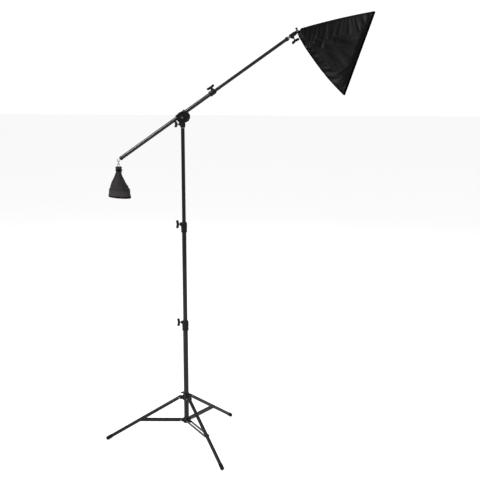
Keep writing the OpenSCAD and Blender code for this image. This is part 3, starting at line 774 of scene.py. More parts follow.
def ring_tape(name, section, corner, finish, body):
    """A tape around the mouth: section is (outward, forward) points from the rim's line."""
    path, steps = [], 9
    wide, high = RIM_HALF_W, RIM_HALF_H
    for turn, (w, h) in enumerate(((1, 1), (-1, 1), (-1, -1), (1, -1))):
        for i in range(steps):
            angle = math.pi / 2 * (turn + i / (steps - 1))
            path.append((Vector((w * (wide - corner), h * (high - corner))),
                         Vector((math.cos(angle), math.sin(angle)))))
    dense = []
    for i, (centre, way) in enumerate(path):
        dense.append((centre + way * corner, way))
        following, next_way = path[(i + 1) % len(path)]
        if (following - centre).length > corner:
            for j in range(1, 30):
                mix = j / 30
                start, end = centre + way * corner, following + next_way * corner
                dense.append((start * (1 - mix) + end * mix, way))
    points = []
    for place, way in dense:
        for out, forward in section:
            flat = place + way * out
            points.append(BOX_FRAME @ Vector((RIM_AT + forward, flat.x, flat.y)))
    count = len(section)
    faces = [(i * count + s, i * count + (s + 1) % count,
              (i + 1) % len(dense) * count + (s + 1) % count, (i + 1) % len(dense) * count + s)
             for i in range(len(dense)) for s in range(count)]
    piece = mesh_piece(name, points, faces, finish, body)
    recalculated(piece)
    return piece, [BOX_FRAME @ Vector((RIM_AT, p.x, p.y)) for p, _ in dense], \
        [BOX_FRAME.to_3x3() @ Vector((0, w.x, w.y)) for _, w in dense]


class SOFTBOX_OT_shell(bpy.types.Operator):
    """Sews the four panels, their rod sleeves, piping and hems"""
    bl_idname = "softbox.shell"
    bl_label = "Softbox shell"

    def execute(self, context):
        fabric = context.scene.softbox_fabric
        made = {}
        for seed, (name, side) in enumerate(PANELS.items()):
            made[name] = make_panel(name, side, fabric, 3.7 * seed + 1.3)
        shares = [i / 80 for i in range(81)]
        piping, stitches = [], []
        for w, h in RIDGES:
            line = [BOX_FRAME @ ridge_point(share, w, h, 0.4 * MM) for share in shares]
            piping.append(sweep(line, 2.1 * MM, 10))
            for name in ("near" if w < 0 else "far", "top" if h > 0 else "bottom"):
                side = PANELS[name]
                for inset in (8 * MM, 10.5 * MM):
                    row = []
                    for share in [0.04 + 0.93 * i / 110 for i in range(111)]:
                        across = (w if side[1] else h) * (1 - inset / panel_span(share, side))
                        row.append(BOX_FRAME @ shell_point(share, across, side))
                    stitches.append(stitch_row(*surface_line(made[name], row, 0.1 * MM),
                                               fabric.stitch * 0.8))
        mesh_piece("ridge_piping", *merge(piping), "black_webbing", "lamp")
        hems = []
        for name, side in PANELS.items():
            rows, columns = 7, 60
            points = []
            for r in range(rows):
                share = 1 - fabric.band_width / (RIM_AT - REAR_AT) * (1 - r / (rows - 1))
                line = [BOX_FRAME @ shell_point(share, -0.992 + 1.984 * c / (columns - 1), side)
                        for c in range(columns)]
                found, _ = surface_line(made[name], line, 0.0)
                outward = BOX_FRAME.to_3x3() @ Vector((0, side[0], side[1]))
                points += [p + outward * (0.25 * MM if r == 0 else 0.75 * MM) for p in found]
                if r in (1, 4):
                    stitches.append(stitch_row(
                        [p + outward * 0.9 * MM for p in found], [outward] * columns,
                                               fabric.stitch))
            hems.append((points, grid_faces(rows, columns, False)))
        hem = recalculated(mesh_piece("mouth_hem", *merge(hems), "black_nylon", "lamp"))
        hem.modifiers.new("tape", "SOLIDIFY").thickness = 0.5 * MM
        mesh_piece("shell_stitches", *merge(stitches), "black_webbing", "lamp", smooth=False)
        return {"FINISHED"}


class SOFTBOX_OT_back(bpy.types.Operator):
    """Gathers the shell's back around the lamp holder"""
    bl_idname = "softbox.back"
    bl_label = "Back sleeve"

    def execute(self, context):
        sides, rings = 96, 18
        points, lengths = [], []
        for r in range(rings):
            mix = r / (rings - 1)
            for s in range(sides):
                angle = TAU * s / sides
                square = (REAR_HALF - 1 * MM) / max(abs(math.cos(angle)), abs(math.sin(angle)))
                round_r = HOLDER_R + 0.5 * MM
                inwards = min(1, mix / 0.7)
                pleat = math.sin(22 * angle + 2 * math.sin(3 * angle))
                gather = pleat * 0.8 * MM * math.sin(math.pi * inwards)
                radius = square * (1 - inwards) + round_r * inwards
                back = 0 if mix < 0.7 else (mix - 0.7) / 0.3 * 4.3 * MM
                swell = 0.9 * MM * math.sin(math.pi * min(1, max(0, (mix - 0.7) / 0.3)))
                points.append(BOX_FRAME @ Vector((
                    REAR_AT + 0.6 * MM + gather - back, (radius + swell) * math.cos(angle),
                    (radius + swell) * math.sin(angle))))
                lengths.append((angle * 0.03, mix * 0.02))
        faces = grid_faces(rings, sides, True)
        piece = mesh_piece("back_sleeve", points, faces, "black_nylon", "lamp", uv=lengths)
        recalculated(piece)
        piece.modifiers.new("cloth", "SOLIDIFY").thickness = 0.6 * MM
        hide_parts("fabric_back")
        path = [BOX_FRAME @ Vector((REAR_AT - 3.4 * MM,
                                    (HOLDER_R + 1.2 * MM) * math.cos(TAU * i / 72),
                                    (HOLDER_R + 1.2 * MM) * math.sin(TAU * i / 72))) for i in range(72)]
        mesh_piece("back_elastic", *sweep(path, lambda t: 0.9 * MM, 8, True), "black_webbing",
                   "lamp")
        return {"FINISHED"}


class SOFTBOX_OT_rim(bpy.types.Operator):
    """Binds the mouth with folded tape and stitches it"""
    bl_idname = "softbox.rim"
    bl_label = "Mouth binding"

    def execute(self, context):
        fabric = context.scene.softbox_fabric
        deep = RIM_FRONT - RIM_AT
        section = [(RIM_PROUD * x, deep * z) for x, z in (
            (0.75, -0.7), (0.95, -0.4), (1, 0), (1, 0.55), (0.8, 0.85), (0.35, 0.99), (-0.35, 0.99),
            (-0.8, 0.85), (-1, 0.55), (-1, 0.1), (-0.9, -0.1), (0.5, -0.1), (0.5, -0.7))]
        piece, line, ways = ring_tape("mouth_binding", section, 5 * MM, "black_webbing", "lamp")
        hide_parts("rim_binding")
        forward = BOX_FRAME.to_3x3() @ Vector((1, 0, 0))
        closed = line + line[:1]
        fine, up = [], []
        for i in range(len(line)):
            steps = max(1, int((closed[i + 1] - closed[i]).length / (0.5 * MM)))
            for j in range(steps):
                place = closed[i].lerp(closed[i + 1], j / steps)
                fine.append(place + ways[i] * RIM_PROUD + forward * deep * 0.3)
                up.append(ways[i])
        stitches = stitch_row(fine, up, fabric.stitch)
        mesh_piece("binding_stitches", *stitches, "black_webbing", "lamp", smooth=False)
        return {"FINISHED"}


class SOFTBOX_OT_diffuser(bpy.types.Operator):
    """Hangs the white diffuser in the mouth, with its fastening border"""
    bl_idname = "softbox.diffuser"
    bl_label = "Diffuser"

    def execute(self, context):
        seen = node_points("diffuser", BOX_FRAME)
        low, high = seen.min(axis=0), seen.max(axis=0)
        spare = 4 * MM
        wide, tall = float(high[1]) + spare, float(high[2]) + spare
        at = float(low[0])
        border = 26 * MM
        rows, columns = 44, 60

        def billow(y, z):
            edge = (1 - (y / wide) ** 2) * (1 - (z / tall) ** 2)
            corner = noise.noise(Vector((y * 14, z * 14, 4.1))) * 2 * MM
            pulls = noise.noise(Vector((y * 9 + z * 16, z * 6 - y * 5, 9.3))) * 2.4 * MM
            return -5 * MM * edge + (corner + pulls) * min(1, edge * 3)
        points = [BOX_FRAME @ Vector((at + billow(y, z), y, z))
                  for z in [tall * (-1 + 2 * r / (rows - 1)) for r in range(rows)]
                  for y in [wide * (-1 + 2 * c / (columns - 1)) for c in range(columns)]]
        lengths = [(2 * wide * c / (columns - 1), 2 * tall * r / (rows - 1))
                   for r in range(rows) for c in range(columns)]
        faces = grid_faces(rows, columns, False)
        piece = mesh_piece("diffuser_cloth", points, faces, "white_nylon", "diffuser", uv=lengths)
        held = {i: 1.0 for i in range(rows * columns)
                if i // columns in (0, 1, rows - 2, rows - 1)
                or i % columns in (0, 1, columns - 2, columns - 1)}
        settle(piece, held, 14, 0.004, 0.5, 5 * MM)
        piece.modifiers.new("smooth", "SUBSURF").levels = 1
        piece.modifiers.new("cloth", "SOLIDIFY").thickness = 0.6 * MM
        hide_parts("diffuser")
        hem, stitches = [], []
        front = 0.9 * MM
        outward = BOX_FRAME.to_3x3() @ Vector((1, 0, 0))
        for w, t, turn in ((wide, tall, 0), (tall, wide, 1), (wide, tall, 2), (tall, wide, 3)):
            spin = Matrix.Rotation(math.pi / 2 * turn, 4, "X")
            columns_h = 70
            outer = [Vector((at + front, w * (-1 + 2 * c / (columns_h - 1)),
                             t)) for c in range(columns_h)]
            inner = [Vector((at + front, (w - border) * (-1 + 2 * c / (columns_h - 1)), t - border))
                     for c in range(columns_h)]
            middle = [a.lerp(b, 0.5) + Vector((0.4 * MM, 0, 0)) for a, b in zip(outer, inner)]
            hem.append(([BOX_FRAME @ spin @ p for p in outer + middle + inner],
                        grid_faces(3, columns_h, False)))
            for share in (0.1, 0.9):
                row = [outer[0].lerp(inner[0], share), outer[-1].lerp(inner[-1], share)]
                steps = int((row[1] - row[0]).length / (0.5 * MM))
                fine = [BOX_FRAME @ spin @ (row[0].lerp(row[1], i / steps) + Vector((0.5 * MM, 0,
                                                                                     0)))
                        for i in range(steps)]
                stitches.append(stitch_row(fine, [outward] * steps, 4.5 * MM))
        border_piece = recalculated(mesh_piece("diffuser_border", *merge(hem), "white_nylon",
                                               "diffuser"))
        border_piece.modifiers.new("tape", "SOLIDIFY").thickness = 0.7 * MM
        stitching = mesh_piece("diffuser_stitches", *merge(stitches), "white_nylon", "diffuser",
                               smooth=False)
        return {"FINISHED"}


# ---- the counterweight bag ----

BAG_SHAPE = ((0.0, 0.0), (0.0, 0.55), (0.0, 0.93), (0.006, 0.98), (0.03, 1.0), (0.12, 0.985),
             (0.2, 0.965),
             (0.24, 0.945), (0.26, 0.915), (0.285, 0.92), (0.32, 0.885), (0.36, 0.845),
             (0.44, 0.745),
             (0.53, 0.625), (0.61, 0.505), (0.69, 0.395), (0.78, 0.295), (0.85, 0.24), (0.90, 0.22),
             (0.925, 0.21), (0.95, 0.235), (1.0, 0.265), (1.055, 0.275), (1.05, 0.21), (0.97, 0.10),
             (0.96, 0.0))
BAG_LEAN = ((0.0, 0.36, 0.53, 0.69, 0.87, 1.0), (0.03, 0.02, -0.045, -0.055, -0.02, 0.0))
BAG_FLAT = ((0.0, 0.3, 0.62, 0.8), (0.62, 0.70, 0.88, 1.0))


def bag_surface(bag, radius, height, foot, sides):
    """Rings of the bag's cloth from the middle of its bottom to its gathered neck."""
    rings = 120
    knots = np.array(BAG_SHAPE)
    travel = np.concatenate([[0], np.cumsum(np.linalg.norm(np.diff(knots * [1, 0.42], axis=0),
                                                           axis=1))])
    where = np.linspace(0, travel[-1], rings)
    levels, spans = (np.interp(where, travel, knots[:, i]) for i in (0, 1))
    for _ in range(2):
        levels[1:-1] = (levels[:-2] + 2 * levels[1:-1] + levels[2:]) / 4
        spans[1:-1] = (spans[:-2] + 2 * spans[1:-1] + spans[2:]) / 4
    points, lengths = [], []
    for level, span, way in zip(levels, spans, where):
        for s in range(sides):
            angle = TAU * s / sides
            gather_at = min(1, max(0, (level - 0.36) / 0.5))
            bent = angle + 0.22 * math.sin(3 * angle + 0.7) + 0.10 * math.sin(7 * angle)
            wave = 1 - 2 * abs(math.sin(bag.pleats * bent / 2)) ** 0.8
            fold = bag.pleat_depth * wave * gather_at * (0.55 if 0.87 < level < 0.96 else 1)
            slump = noise.noise(Vector((2.2 * math.cos(angle), 2.2 * math.sin(angle), level * 9)))
            crowd = max(0, 1 - abs(level - 0.35) / 0.11)
            rolls = math.sin(level * 62 + 2.2 * math.sin(angle * 2 + 1)) * crowd
            dents = noise.noise(Vector((3.5 * math.cos(angle), 3.5 * math.sin(angle),
                                        level * 3 + 5)))
            body = min(1, span * 2)
            firm = min(1, 0.25 + level * 6)
            r = radius * span + body * (fold + bag.sag * firm * (0.8 * slump + 0.8 * rolls + 0.5 * dents))
            tip = -0.075 * r * math.cos(angle) * max(0, 1 - level / 0.5)
            under = -1.6 * MM * math.cos(math.pi * span / 2) if level < 0.01 else 0
            lean = radius * float(np.interp(level, *BAG_LEAN))
            flat = float(np.interp(level, *BAG_FLAT))
            points.append(Vector((lean + r * math.cos(angle), flat * r * math.sin(angle),
                                  foot + height * level + tip + under)))
            lengths.append((angle * 0.067, way * height * 2))
    return points, grid_faces(rings, sides, True), lengths


def bag_ring(points, sides, level_low, level_high, lift, foot, height):
    """The rows of the bag's wall between two levels, moved out by lift."""
    rows = []
    for start in range(0, len(points), sides):
        row = points[start:start + sides]
        level = (sum(p.z for p in row) / sides - foot) / height
        middle = sum(p.x for p in row) / sides
        wide = sum(math.hypot(p.x - middle, p.y) for p in row) / sides
        if level_low <= level <= level_high and wide > 0.05:
            rows.append([Vector((middle + (p.x - middle) * (1 + lift / wide),
                                 p.y * (1 + lift / wide), p.z))
                         for p in row])
    return rows


def rope(path, radius, pitch=9 * MM):
    """A twisted cord: three strands wound around a path."""
    travel, strands = [0.0], 3
    for i in range(1, len(path)):
        travel.append(travel[-1] + (path[i] - path[i - 1]).length)
    parts, frames, across = [], [], None
    for i, point in enumerate(path):
        way = (path[min(i + 1, len(path) - 1)] - path[max(i - 1, 0)]).normalized()
        if across is None:
            across = way.orthogonal().normalized()
        across = (across - way * across.dot(way)).normalized()
        frames.append((point, across.copy(), way.cross(across)))
    for strand in range(strands):
        line = []
        for (point, x, y), length in zip(frames, travel):
            turn = TAU * (length / pitch + strand / strands)
            line.append(point + (x * math.cos(turn) + y * math.sin(turn)) * radius * 0.5)
        parts.append(sweep(line, radius * 0.55, 8))
    return merge(parts)


def resampled(path, step):
    """A smooth path cut into even steps."""
    fine = []
    for i in range(len(path) - 1):
        count = max(1, int((path[i + 1] - path[i]).length / step))
        fine += [path[i].lerp(path[i + 1], j / count) for j in range(count)]
    return fine + [path[-1]]


class SOFTBOX_OT_bag(bpy.types.Operator):
    """Sews the sand bag, with its gathered neck, band, hem and cord loop"""
    bl_idname = "softbox.bag"
    bl_label = "Counterweight bag"

    def execute(self, context):
        bag = context.scene.softbox_bag
        low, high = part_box("bag_body")
        radius, height = (high.x - low.x) / 2, high.z - low.z
        centre = Vector(((low.x + high.x) / 2, (low.y + high.y) / 2, 0))
        sides = 144
        points, faces, lengths = bag_surface(bag, radius, height, low.z, sides)
        placed = [centre + p for p in points]
        piece = mesh_piece("bag_cloth_body", placed, faces, "bag_cloth", "bag", uv=lengths)
        recalculated(piece)
        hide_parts("bag_body", "sand_fill")
        for name, span, lift, finish in (("bag_band", (0.05, 0.25), 0.9 * MM, "bag_band"),
                                         ("bag_hem", (0.004, 0.056), 1.7 * MM, "black_webbing")):
            rows = bag_ring(points, sides, *span, lift, low.z, height)
            flat = [centre + p for row in rows for p in row]
            uv = [(TAU * radius * s / sides,
                   r * 2 * MM) for r in range(len(rows)) for s in range(sides)]
            tape = mesh_piece(name, flat, grid_faces(len(rows), sides, True), finish, "bag", uv=uv)
            recalculated(tape)
            tape.modifiers.new("tape", "SOLIDIFY").thickness = 0.9 * MM
        stitches = []
        for level in (0.075, 0.235):
            rows = bag_ring(points, sides, level - 0.012, level + 0.012, 1.15 * MM, low.z, height)
            row = [centre + p for p in rows[0]]
            line = resampled(row + row[:1], 0.5 * MM)
            ways = [Vector((p.x - centre.x, p.y - centre.y, 0)).normalized() for p in line]
            stitches.append(stitch_row(line, ways, 5 * MM, 0.6 * MM, 0.35 * MM))
        mesh_piece("bag_stitches", *merge(stitches), "bag_band", "bag", smooth=False)

        loop_low, loop_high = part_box("bag_loop")
        cord_r = (loop_high.y - loop_low.y) / 2
        half = (loop_high.x - loop_low.x) / 2 - cord_r
        top = loop_high.z - cord_r - half
        neck = high.z
        path = [centre + Vector((-half * 1.5, 0, neck - 10 * MM)),
                centre + Vector((-half * 1.2, 0, neck + 2 * MM))]
        path += [centre + Vector((-half, 0, neck + (top - neck) * t)) for t in (0.45, 0.8)]
        path += [centre + Vector((-half * math.cos(a), 0, top + half * math.sin(a)))
                 for a in [math.pi * i / 24 for i in range(25)]]
        path += [centre + Vector((half, 0, neck + (top - neck) * t)) for t in (0.8, 0.45)]
        path += [centre + Vector((half * 1.2, 0, neck + 2 * MM)),
                 centre + Vector((half * 1.5, 0, neck - 10 * MM))]
        loop = mesh_piece("bag_cord_loop", *rope(resampled(path, 1.2 * MM), cord_r), "white_nylon",
                          "bag")
        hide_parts("bag_loop")
        tie_z = low.z + height * 0.925
        tie_r = radius * 0.225 + 3.0 * MM
        turns = 3
        coil = [centre + Vector((tie_r * math.cos(TAU * i / 48), tie_r * math.sin(TAU * i / 48),
                                 tie_z - 3.2 * MM + 6.4 * MM * i / (48 * turns)))
                for i in range(48 * turns + 1)]
        end = [coil[-1] + Vector((1.5 * MM, -6 * MM * t, -14 * MM * t * t - 2 * MM * t))
               for t in (0.3, 0.6, 1.0)]
        tie = rope(resampled(coil + end, 1.5 * MM), 1.9 * MM, 8 * MM)
        mesh_piece("neck_tie", *tie, "black_webbing", "bag")
        knot = [coil[-1] + Vector((1.2 * MM + 2.6 * MM * math.cos(a) * (1 + 0.3 * math.cos(2 * a)),
                                   -2 * MM +
                                   2.6 * MM * math.sin(a), 1.6 * MM * math.sin(3 * a)))
                for a in [TAU * i / 40 for i in range(41)]]
        mesh_piece("neck_knot", *rope(knot, 1.7 * MM, 7 * MM), "black_webbing", "bag")
        return {"FINISHED"}


# ---- hard pieces ----

SCREWS = ("lower_screw", "upper_screw", "socket_screw", "spider_screw", "boom_screw", "head_screw")


def wing_outline(span, low, high):
    """Half of a thumb screw's wings, from the hub out and back."""
    deep = high - low
    marks = [(0, low), (0.35 * span, low + 0.01 * deep), (0.68 * span, low + 0.05 * deep),
             (0.92 * span, low + 0.20 * deep), (span, low + 0.46 * deep),
             (0.99 * span, low + 0.76 * deep),
             (0.91 * span, low + 0.96 * deep), (0.72 * span, high),
             (0.46 * span, high - 0.07 * deep),
             (0.24 * span, high - 0.13 * deep), (0, high - 0.17 * deep)]
    smooth = []
    for i in range(len(marks) - 1):
        p0, p1, p2, p3 = (np.array(marks[min(max(j, 0), len(marks) - 1)]) for j in (i - 1, i, i + 1, i + 2))
        for t in (0, 0.34, 0.67):
            smooth.append(0.5 * ((2 * p1) + (p2 - p0) * t + (2 * p0 - 5 * p1 + 4 * p2 - p3) * t * t
                                 + (3 * p1 - p0 - 3 * p2 + p3) * t ** 3))
    smooth.append(np.array(marks[-1]))
    return smooth


class SOFTBOX_OT_screws(bpy.types.Operator):
    """Moulds the six thumb screws"""
    bl_idname = "softbox.screws"
    bl_label = "Thumb screws"

    def execute(self, context):
        for node in SCREWS:
            place, axis = joint_place(node + "_turn")
            up = Vector((0, 0, 1))
            ways = [w - axis * w.dot(axis) for w in (up, BOOM_AXIS, axis.cross(up))]
            ways = [w.normalized() for w in ways if w.length > 0.3]
            spans = [float(np.ptp(node_points(node, frame_matrix(place, w, axis.cross(w)))[:, 0]))
                     for w in ways]
            span_way = ways[int(np.argmax(spans))]
            local = frame_matrix(place, span_way, axis.cross(span_way))
            seen = node_points(node, local)
            if float(seen[:, 2].max()) <= 0:
                local = frame_matrix(place, span_way, -axis.cross(span_way))
                seen = node_points(node, local)
            tip, top = float(seen[:, 2].min()), float(seen[:, 2].max())
            span = float(seen[:, 0].max())
            low = top - 17 * MM
            parts = [lathe([(0.1 * MM, tip), (2.2 * MM, tip), (3 * MM, tip + 0.8 * MM),
                            (3 * MM, low - 2 * MM)], 24)]
            turns = int((low - 2 * MM - tip) / (1 * MM))
            thread = [Vector((2.75 * MM * math.cos(TAU * i / 16),
                              2.75 * MM * math.sin(TAU * i / 16),
                              tip + 1 * MM + i / 16 * MM)) for i in range(16 * max(1, turns - 2))]
            hub = lathe([(0.1 * MM, low - 2.2 * MM), (4.6 * MM, low - 2.2 * MM),
                         (5.4 * MM, low - 1.4 * MM),
                         (6.4 * MM, low + 2 * MM), (6.9 * MM, low + 3.4 * MM),
                         (6.9 * MM, low + 11.2 * MM),
                         (6.4 * MM, low + 12.6 * MM), (4.8 * MM, low + 13.6 * MM),
                         (0.1 * MM, low + 13.9 * MM)], 36)
            outline = wing_outline(span, low, top)
            for side in (1, -1):
                rings = []
                for thick, shrink in ((-1, 0.86), (-0.8, 0.95), (-0.4, 1), (0.4, 1), (0.8, 0.95),
                                      (1, 0.86)):
                    middle = np.mean(outline, axis=0)
                    ring = []
                    for x, z in outline:
                        at = middle + (np.array((x, z)) - middle) * shrink
                        at[0] = max(at[0], 0)
                        ring.append(Vector((side * at[0], thick * (2.9 - 0.9 * at[0] / span) * MM,
                                            at[1])))
                    rings.append(ring)
                count = len(outline)
                points = [p for ring in rings for p in ring]
                faces = grid_faces(len(rings), count, True)
                faces += [tuple(reversed(cap)) for cap in end_caps(len(rings), count)]
                parts.append((points, faces))
            parts.append(hub)
            body = node
            points, faces = moved(merge(parts), local)
            piece = recalculated(mesh_piece(node + "_wings", points, faces, "black_plastic", body))
            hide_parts(node)
            thread_points, thread_faces = moved(sweep(thread, 0.45 * MM, 6), local)
            mesh_piece(node + "_thread", thread_points, thread_faces, "bright_steel", body)
        return {"FINISHED"}


ROUND_NODES = ("boom_eye", "bag_hook", "bulb_glass", "rods", "foot_1", "foot_2", "foot_3")


class SOFTBOX_OT_hardware(bpy.types.Operator):
    """Finishes and rounds the metal and plastic pieces, and adds their ribs"""
    bl_idname = "softbox.hardware"
    bl_label = "Metal and plastic"

    def execute(self, context):
        slots = {part["node"]: part["material_slot"] for part in frame["record"]["subparts"]}
        for name, node in frame["nodes"].items():
            node.data.materials.clear()
            node.data.materials.append(FINISHES[slots[name]])
            if node.hide_render:
                continue
            weld = node.modifiers.new("weld", "WELD")
            weld.merge_threshold = 0.01 * MM
            if name not in ROUND_NODES:
                soften(node, 0.45 * MM, 2, 32)
            node.data.shade_smooth()
            steady = node.modifiers.new("steady", "WEIGHTED_NORMAL")
            steady.keep_sharp = True
        self.collar_ribs()
        self.disc_ribs()
        self.tube_marks()
        self.end_ring()
        return {"FINISHED"}

    def collar_ribs(self):
        """Grip ribs around the lower half of each clamp collar."""
        for node, body, along in (("lower_collar", "stand", Vector((0, 0, 1))),
                                  ("upper_collar", "mid_section", Vector((0, 0, 1))),
                                  ("boom_collar", "boom_outer", BOOM_AXIS)):
            middle = joint_place({"lower_collar": "lower_screw_turn",
                                  "upper_collar": "upper_screw_turn",
                                  "boom_collar": "boom_screw_turn"}[node])[0]
            side = Vector((0, 1, 0)).cross(along)
            local = frame_matrix(middle, side, along.cross(side))
            seen = node_points(node, local)
            low, high = float(seen[:, 2].min()), float(seen[:, 2].max())
            near = seen[np.abs(seen[:, 2] - low - (high - low) * 0.2) < (high - low) * 0.25]
            radius = float(np.hypot(near[:, 0], near[:, 1]).min())
            reach = np.hypot(near[:, 0], near[:, 1])
            outer = float(np.median(reach[reach > radius + MM]))
            parts = []

            def rib_radius(share):
                return 1.0 * MM * math.sin(math.pi * (0.12 + 0.76 * share)) ** 0.5

            for i in range(18):
                angle = TAU * i / 18
                way = Vector((math.cos(angle), math.sin(angle), 0))
                path = [way * (outer - 0.2 * MM) + Vector((0, 0, z))
                        for z in np.linspace(low + 3 * MM, low + (high - low) * 0.29, 8)]
                parts.append(sweep(path, rib_radius, 8))
            mesh_piece(node + "_ribs", *moved(merge(parts), local), "black_plastic", body)

    def disc_ribs(self):
        """Raised rings and spokes on the tilt clamp's front disc."""
        place = joint_place("boom_tilt")[0]
        local = frame_matrix(place, (1, 0, 0), (0, 0, 1))
        seen = node_points("column_socket", local)
        face = float(seen[:, 2].max())
        parts = []
        for radius, wire in ((29.5 * MM, 1.0 * MM), (13 * MM, 1.2 * MM)):
            path = [on_circle(radius, i / 90, face) for i in range(90)]
            parts.append(sweep(path, wire, 8, True))
        for i in range(12):
            angle = TAU * (i + 0.5) / 12
            way = Vector((math.cos(angle), math.sin(angle), 0))
            spoke = [way * r * MM + Vector((0, 0, face)) for r in (14, 18, 23, 28.6)]
            parts.append(sweep(spoke, 0.8 * MM, 8))
        mesh_piece("disc_ribs", *moved(merge(parts), local), "cast_black", "socket")

    def end_ring(self):
        """A moulded ring around the end of the boom's inner tube."""
        local = frame_matrix(joint_place("boom_screw_turn")[0], BOOM_AXIS.orthogonal(),
                             BOOM_AXIS.cross(BOOM_AXIS.orthogonal()))
        seen = node_points("boom_inner_tube", local)
        end, radius = float(seen[:, 2].max()), float(np.hypot(seen[:, 0], seen[:, 1]).max())
        inner, outer = radius + 0.05 * MM, radius + 3.2 * MM
        profile = [(inner, end - 15 * MM), (outer - 1.2 * MM, end - 15 * MM),
                   (outer, end - 13.5 * MM),
                   (outer, end - 10 * MM), (outer - 0.7 * MM, end - 9.3 * MM),
                   (outer - 0.7 * MM, end - 5.7 * MM),
                   (outer, end - 5 * MM), (outer, end - 1.6 * MM),
                   (outer - 1.2 * MM, end - 0.3 * MM),
                   (inner, end - 0.3 * MM)]
        points, faces = lathe(profile, 56)
        mesh_piece("boom_end_ring", *moved((points, faces), local), "black_plastic", "boom_inner")

    def tube_marks(self):
        """A fitted ring under each collar's lip, where the tube runs in."""
        for name, node, body, joint, along in (
                ("mid_wiper", "lower_collar", "stand", "lower_screw_turn", Vector((0, 0, 1))),
                ("top_wiper", "upper_collar", "mid_section", "upper_screw_turn", Vector((0, 0, 1))),
                ("boom_wiper", "boom_collar", "boom_outer", "boom_screw_turn", BOOM_AXIS)):
            side = Vector((0, 1, 0)).cross(along)
            local = frame_matrix(joint_place(joint)[0], side, along.cross(side))
            seen = node_points(node, local)
            high = float(seen[:, 2].max())
            near = seen[seen[:, 2] > high - 0.3 * MM]
            inner = float(np.hypot(near[:, 0], near[:, 1]).min())
            path = [on_circle(inner + 0.9 * MM, i / 60, high) for i in range(60)]
            mesh_piece(name, *moved(sweep(path, 0.75 * MM, 8, True), local), "rubber", body)


# ---- stage ----

FLOOR_SEEN = 0.74         # the floor's own glow where the camera sees it straight
BACKGROUND_SEEN = 1.05    # the white behind the stand, as the camera sees it
FARTHEST_SEEN = 200       # m
# name, place in m, the point it faces in m, width in m, power in W
LIGHTS = (
    ("key", (-3.6, -3.2, 4.6), (0.2, 0, 1.6), 1.6, 150.0),
    ("fill", (4.5, -3.5, 3.2), (0.6, 0, 2.0), 2.5, 40.0),
    ("rim", (1.0, 4.5, 5.2), (0.3, 0, 1.8), 2.0, 90.0))


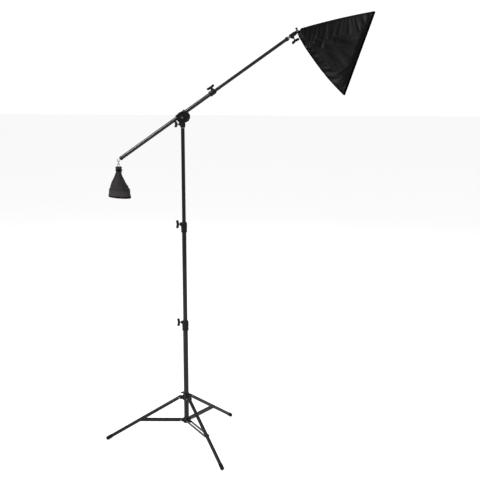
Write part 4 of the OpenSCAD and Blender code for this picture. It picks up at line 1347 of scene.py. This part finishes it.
class SOFTBOX_OT_stage(bpy.types.Operator):
    """Sets the camera, the pale floor and the soft light"""
    bl_idname = "softbox.stage"
    bl_label = "Stage"

    def execute(self, context):
        rules = context.scene.softbox_stage
        scene = context.scene
        data = bpy.data.cameras.new("view")
        data.lens = rules.lens
        data.sensor_width = 36
        camera = bpy.data.objects.new("view", data)
        scene.collection.objects.link(camera)
        way = Vector((math.cos(rules.camera_bearing), math.sin(rules.camera_bearing), 0))
        spot = way * rules.camera_distance
        camera.location = (spot.x, spot.y, rules.camera_height)
        heading = rules.camera_bearing + math.pi + rules.camera_heading
        turn = Matrix.Rotation(heading - math.pi / 2, 4, "Z") @ Matrix.Rotation(
            math.pi / 2 - rules.camera_fall, 4, "X") @ Matrix.Rotation(rules.camera_roll, 4, "Z")
        camera.rotation_euler = turn.to_euler()
        data.clip_end = FARTHEST_SEEN
        scene.camera = camera

        half = rules.floor_size / 2
        mesh = bpy.data.meshes.new("floor")
        corners = [(-half, -half, 0), (half, -half, 0), (half, half, 0), (-half, half, 0)]
        mesh.from_pydata(corners, [], [(0, 1, 2, 3)])
        floor = bpy.data.objects.new("floor", mesh)
        scene.collection.objects.link(floor)
        finish = Finish("studio_floor")
        surface = finish.group("surface_grain", Grain=60.0, Blotch=0.6)
        finish.colour(finish.mix(surface["Blotch"], (0.93, 0.93, 0.93), (0.90, 0.90, 0.90)))
        finish.roughness(finish.between(surface["Height"], 0.7, 0.85))
        seen = finish.tree.nodes.new("ShaderNodeLightPath").outputs["Is Camera Ray"]
        glow = finish.mix(seen, (0, 0, 0), (FLOOR_SEEN,) * 3)
        finish.tree.links.new(glow, finish.shader.inputs["Emission Color"])
        finish.fixed(Emission_Strength=1.0)
        floor.data.materials.append(finish.material)

        world = bpy.data.worlds.new("studio")
        world.use_nodes = True
        tree = world.node_tree
        back = tree.nodes["Background"]
        back.inputs["Color"].default_value = (1, 1, 1, 1)
        seen = tree.nodes.new("ShaderNodeMapRange")
        seen.inputs["To Min"].default_value = rules.room_light
        seen.inputs["To Max"].default_value = BACKGROUND_SEEN
        tree.links.new(tree.nodes.new("ShaderNodeLightPath").outputs["Is Camera Ray"],
                       seen.inputs["Value"])
        tree.links.new(seen.outputs["Result"], back.inputs["Strength"])
        scene.view_settings.view_transform = "Standard"
        scene.world = world
        for name, place, aim, size, power in LIGHTS:
            lamp = bpy.data.lights.new(name, "AREA")
            lamp.size = size
            lamp.energy = power
            light = bpy.data.objects.new(name, lamp)
            light.location = place
            light.rotation_euler = (Vector(aim) - Vector(place)).to_track_quat("-Z", "Y").to_euler()
            scene.collection.objects.link(light)
        return {"FINISHED"}


class SOFTBOX_OT_finishes(bpy.types.Operator):
    """Mixes the paints, plastics, metals and cloths"""
    bl_idname = "softbox.finishes"
    bl_label = "Finishes"

    def execute(self, context):
        make_grain_group()
        make_wear_group()
        make_weave_group()
        make_dust_group()
        FINISHES.update(make_finishes(context.scene.softbox_colours))
        return {"FINISHED"}


STEPS = (SOFTBOX_OT_finishes, SOFTBOX_OT_stage, SOFTBOX_OT_shell, SOFTBOX_OT_back, SOFTBOX_OT_rim,
         SOFTBOX_OT_diffuser, SOFTBOX_OT_bag, SOFTBOX_OT_screws, SOFTBOX_OT_hardware)
GROUPS = {"softbox_fabric": FabricSettings, "softbox_bag": BagSettings,
          "softbox_colours": ColourSettings,
          "softbox_stage": StageSettings}


class SOFTBOX_PT_panel(bpy.types.Panel):
    """Lists the steps and their settings"""
    bl_idname = "SOFTBOX_PT_panel"
    bl_label = "Softbox"
    bl_space_type = "VIEW_3D"
    bl_region_type = "UI"
    bl_category = "Softbox"

    def draw(self, context):
        for name, kind in GROUPS.items():
            for label in kind.__annotations__:
                self.layout.prop(getattr(context.scene, name), label)
        for step in STEPS:
            self.layout.operator(step.bl_idname)


def register():
    for kind in (*GROUPS.values(), *STEPS, SOFTBOX_PT_panel):
        bpy.utils.register_class(kind)
    for name, kind in GROUPS.items():
        setattr(bpy.types.Scene, name, PointerProperty(type=kind))


def unregister():
    for name in GROUPS:
        delattr(bpy.types.Scene, name)
    for kind in reversed((*GROUPS.values(), *STEPS, SOFTBOX_PT_panel)):
        bpy.utils.unregister_class(kind)


def main():
    register()
    for step in STEPS:
        name = step.bl_idname.split(".")[1]
        getattr(bpy.ops.softbox, name)()


if __name__ == "__main__":
    main()
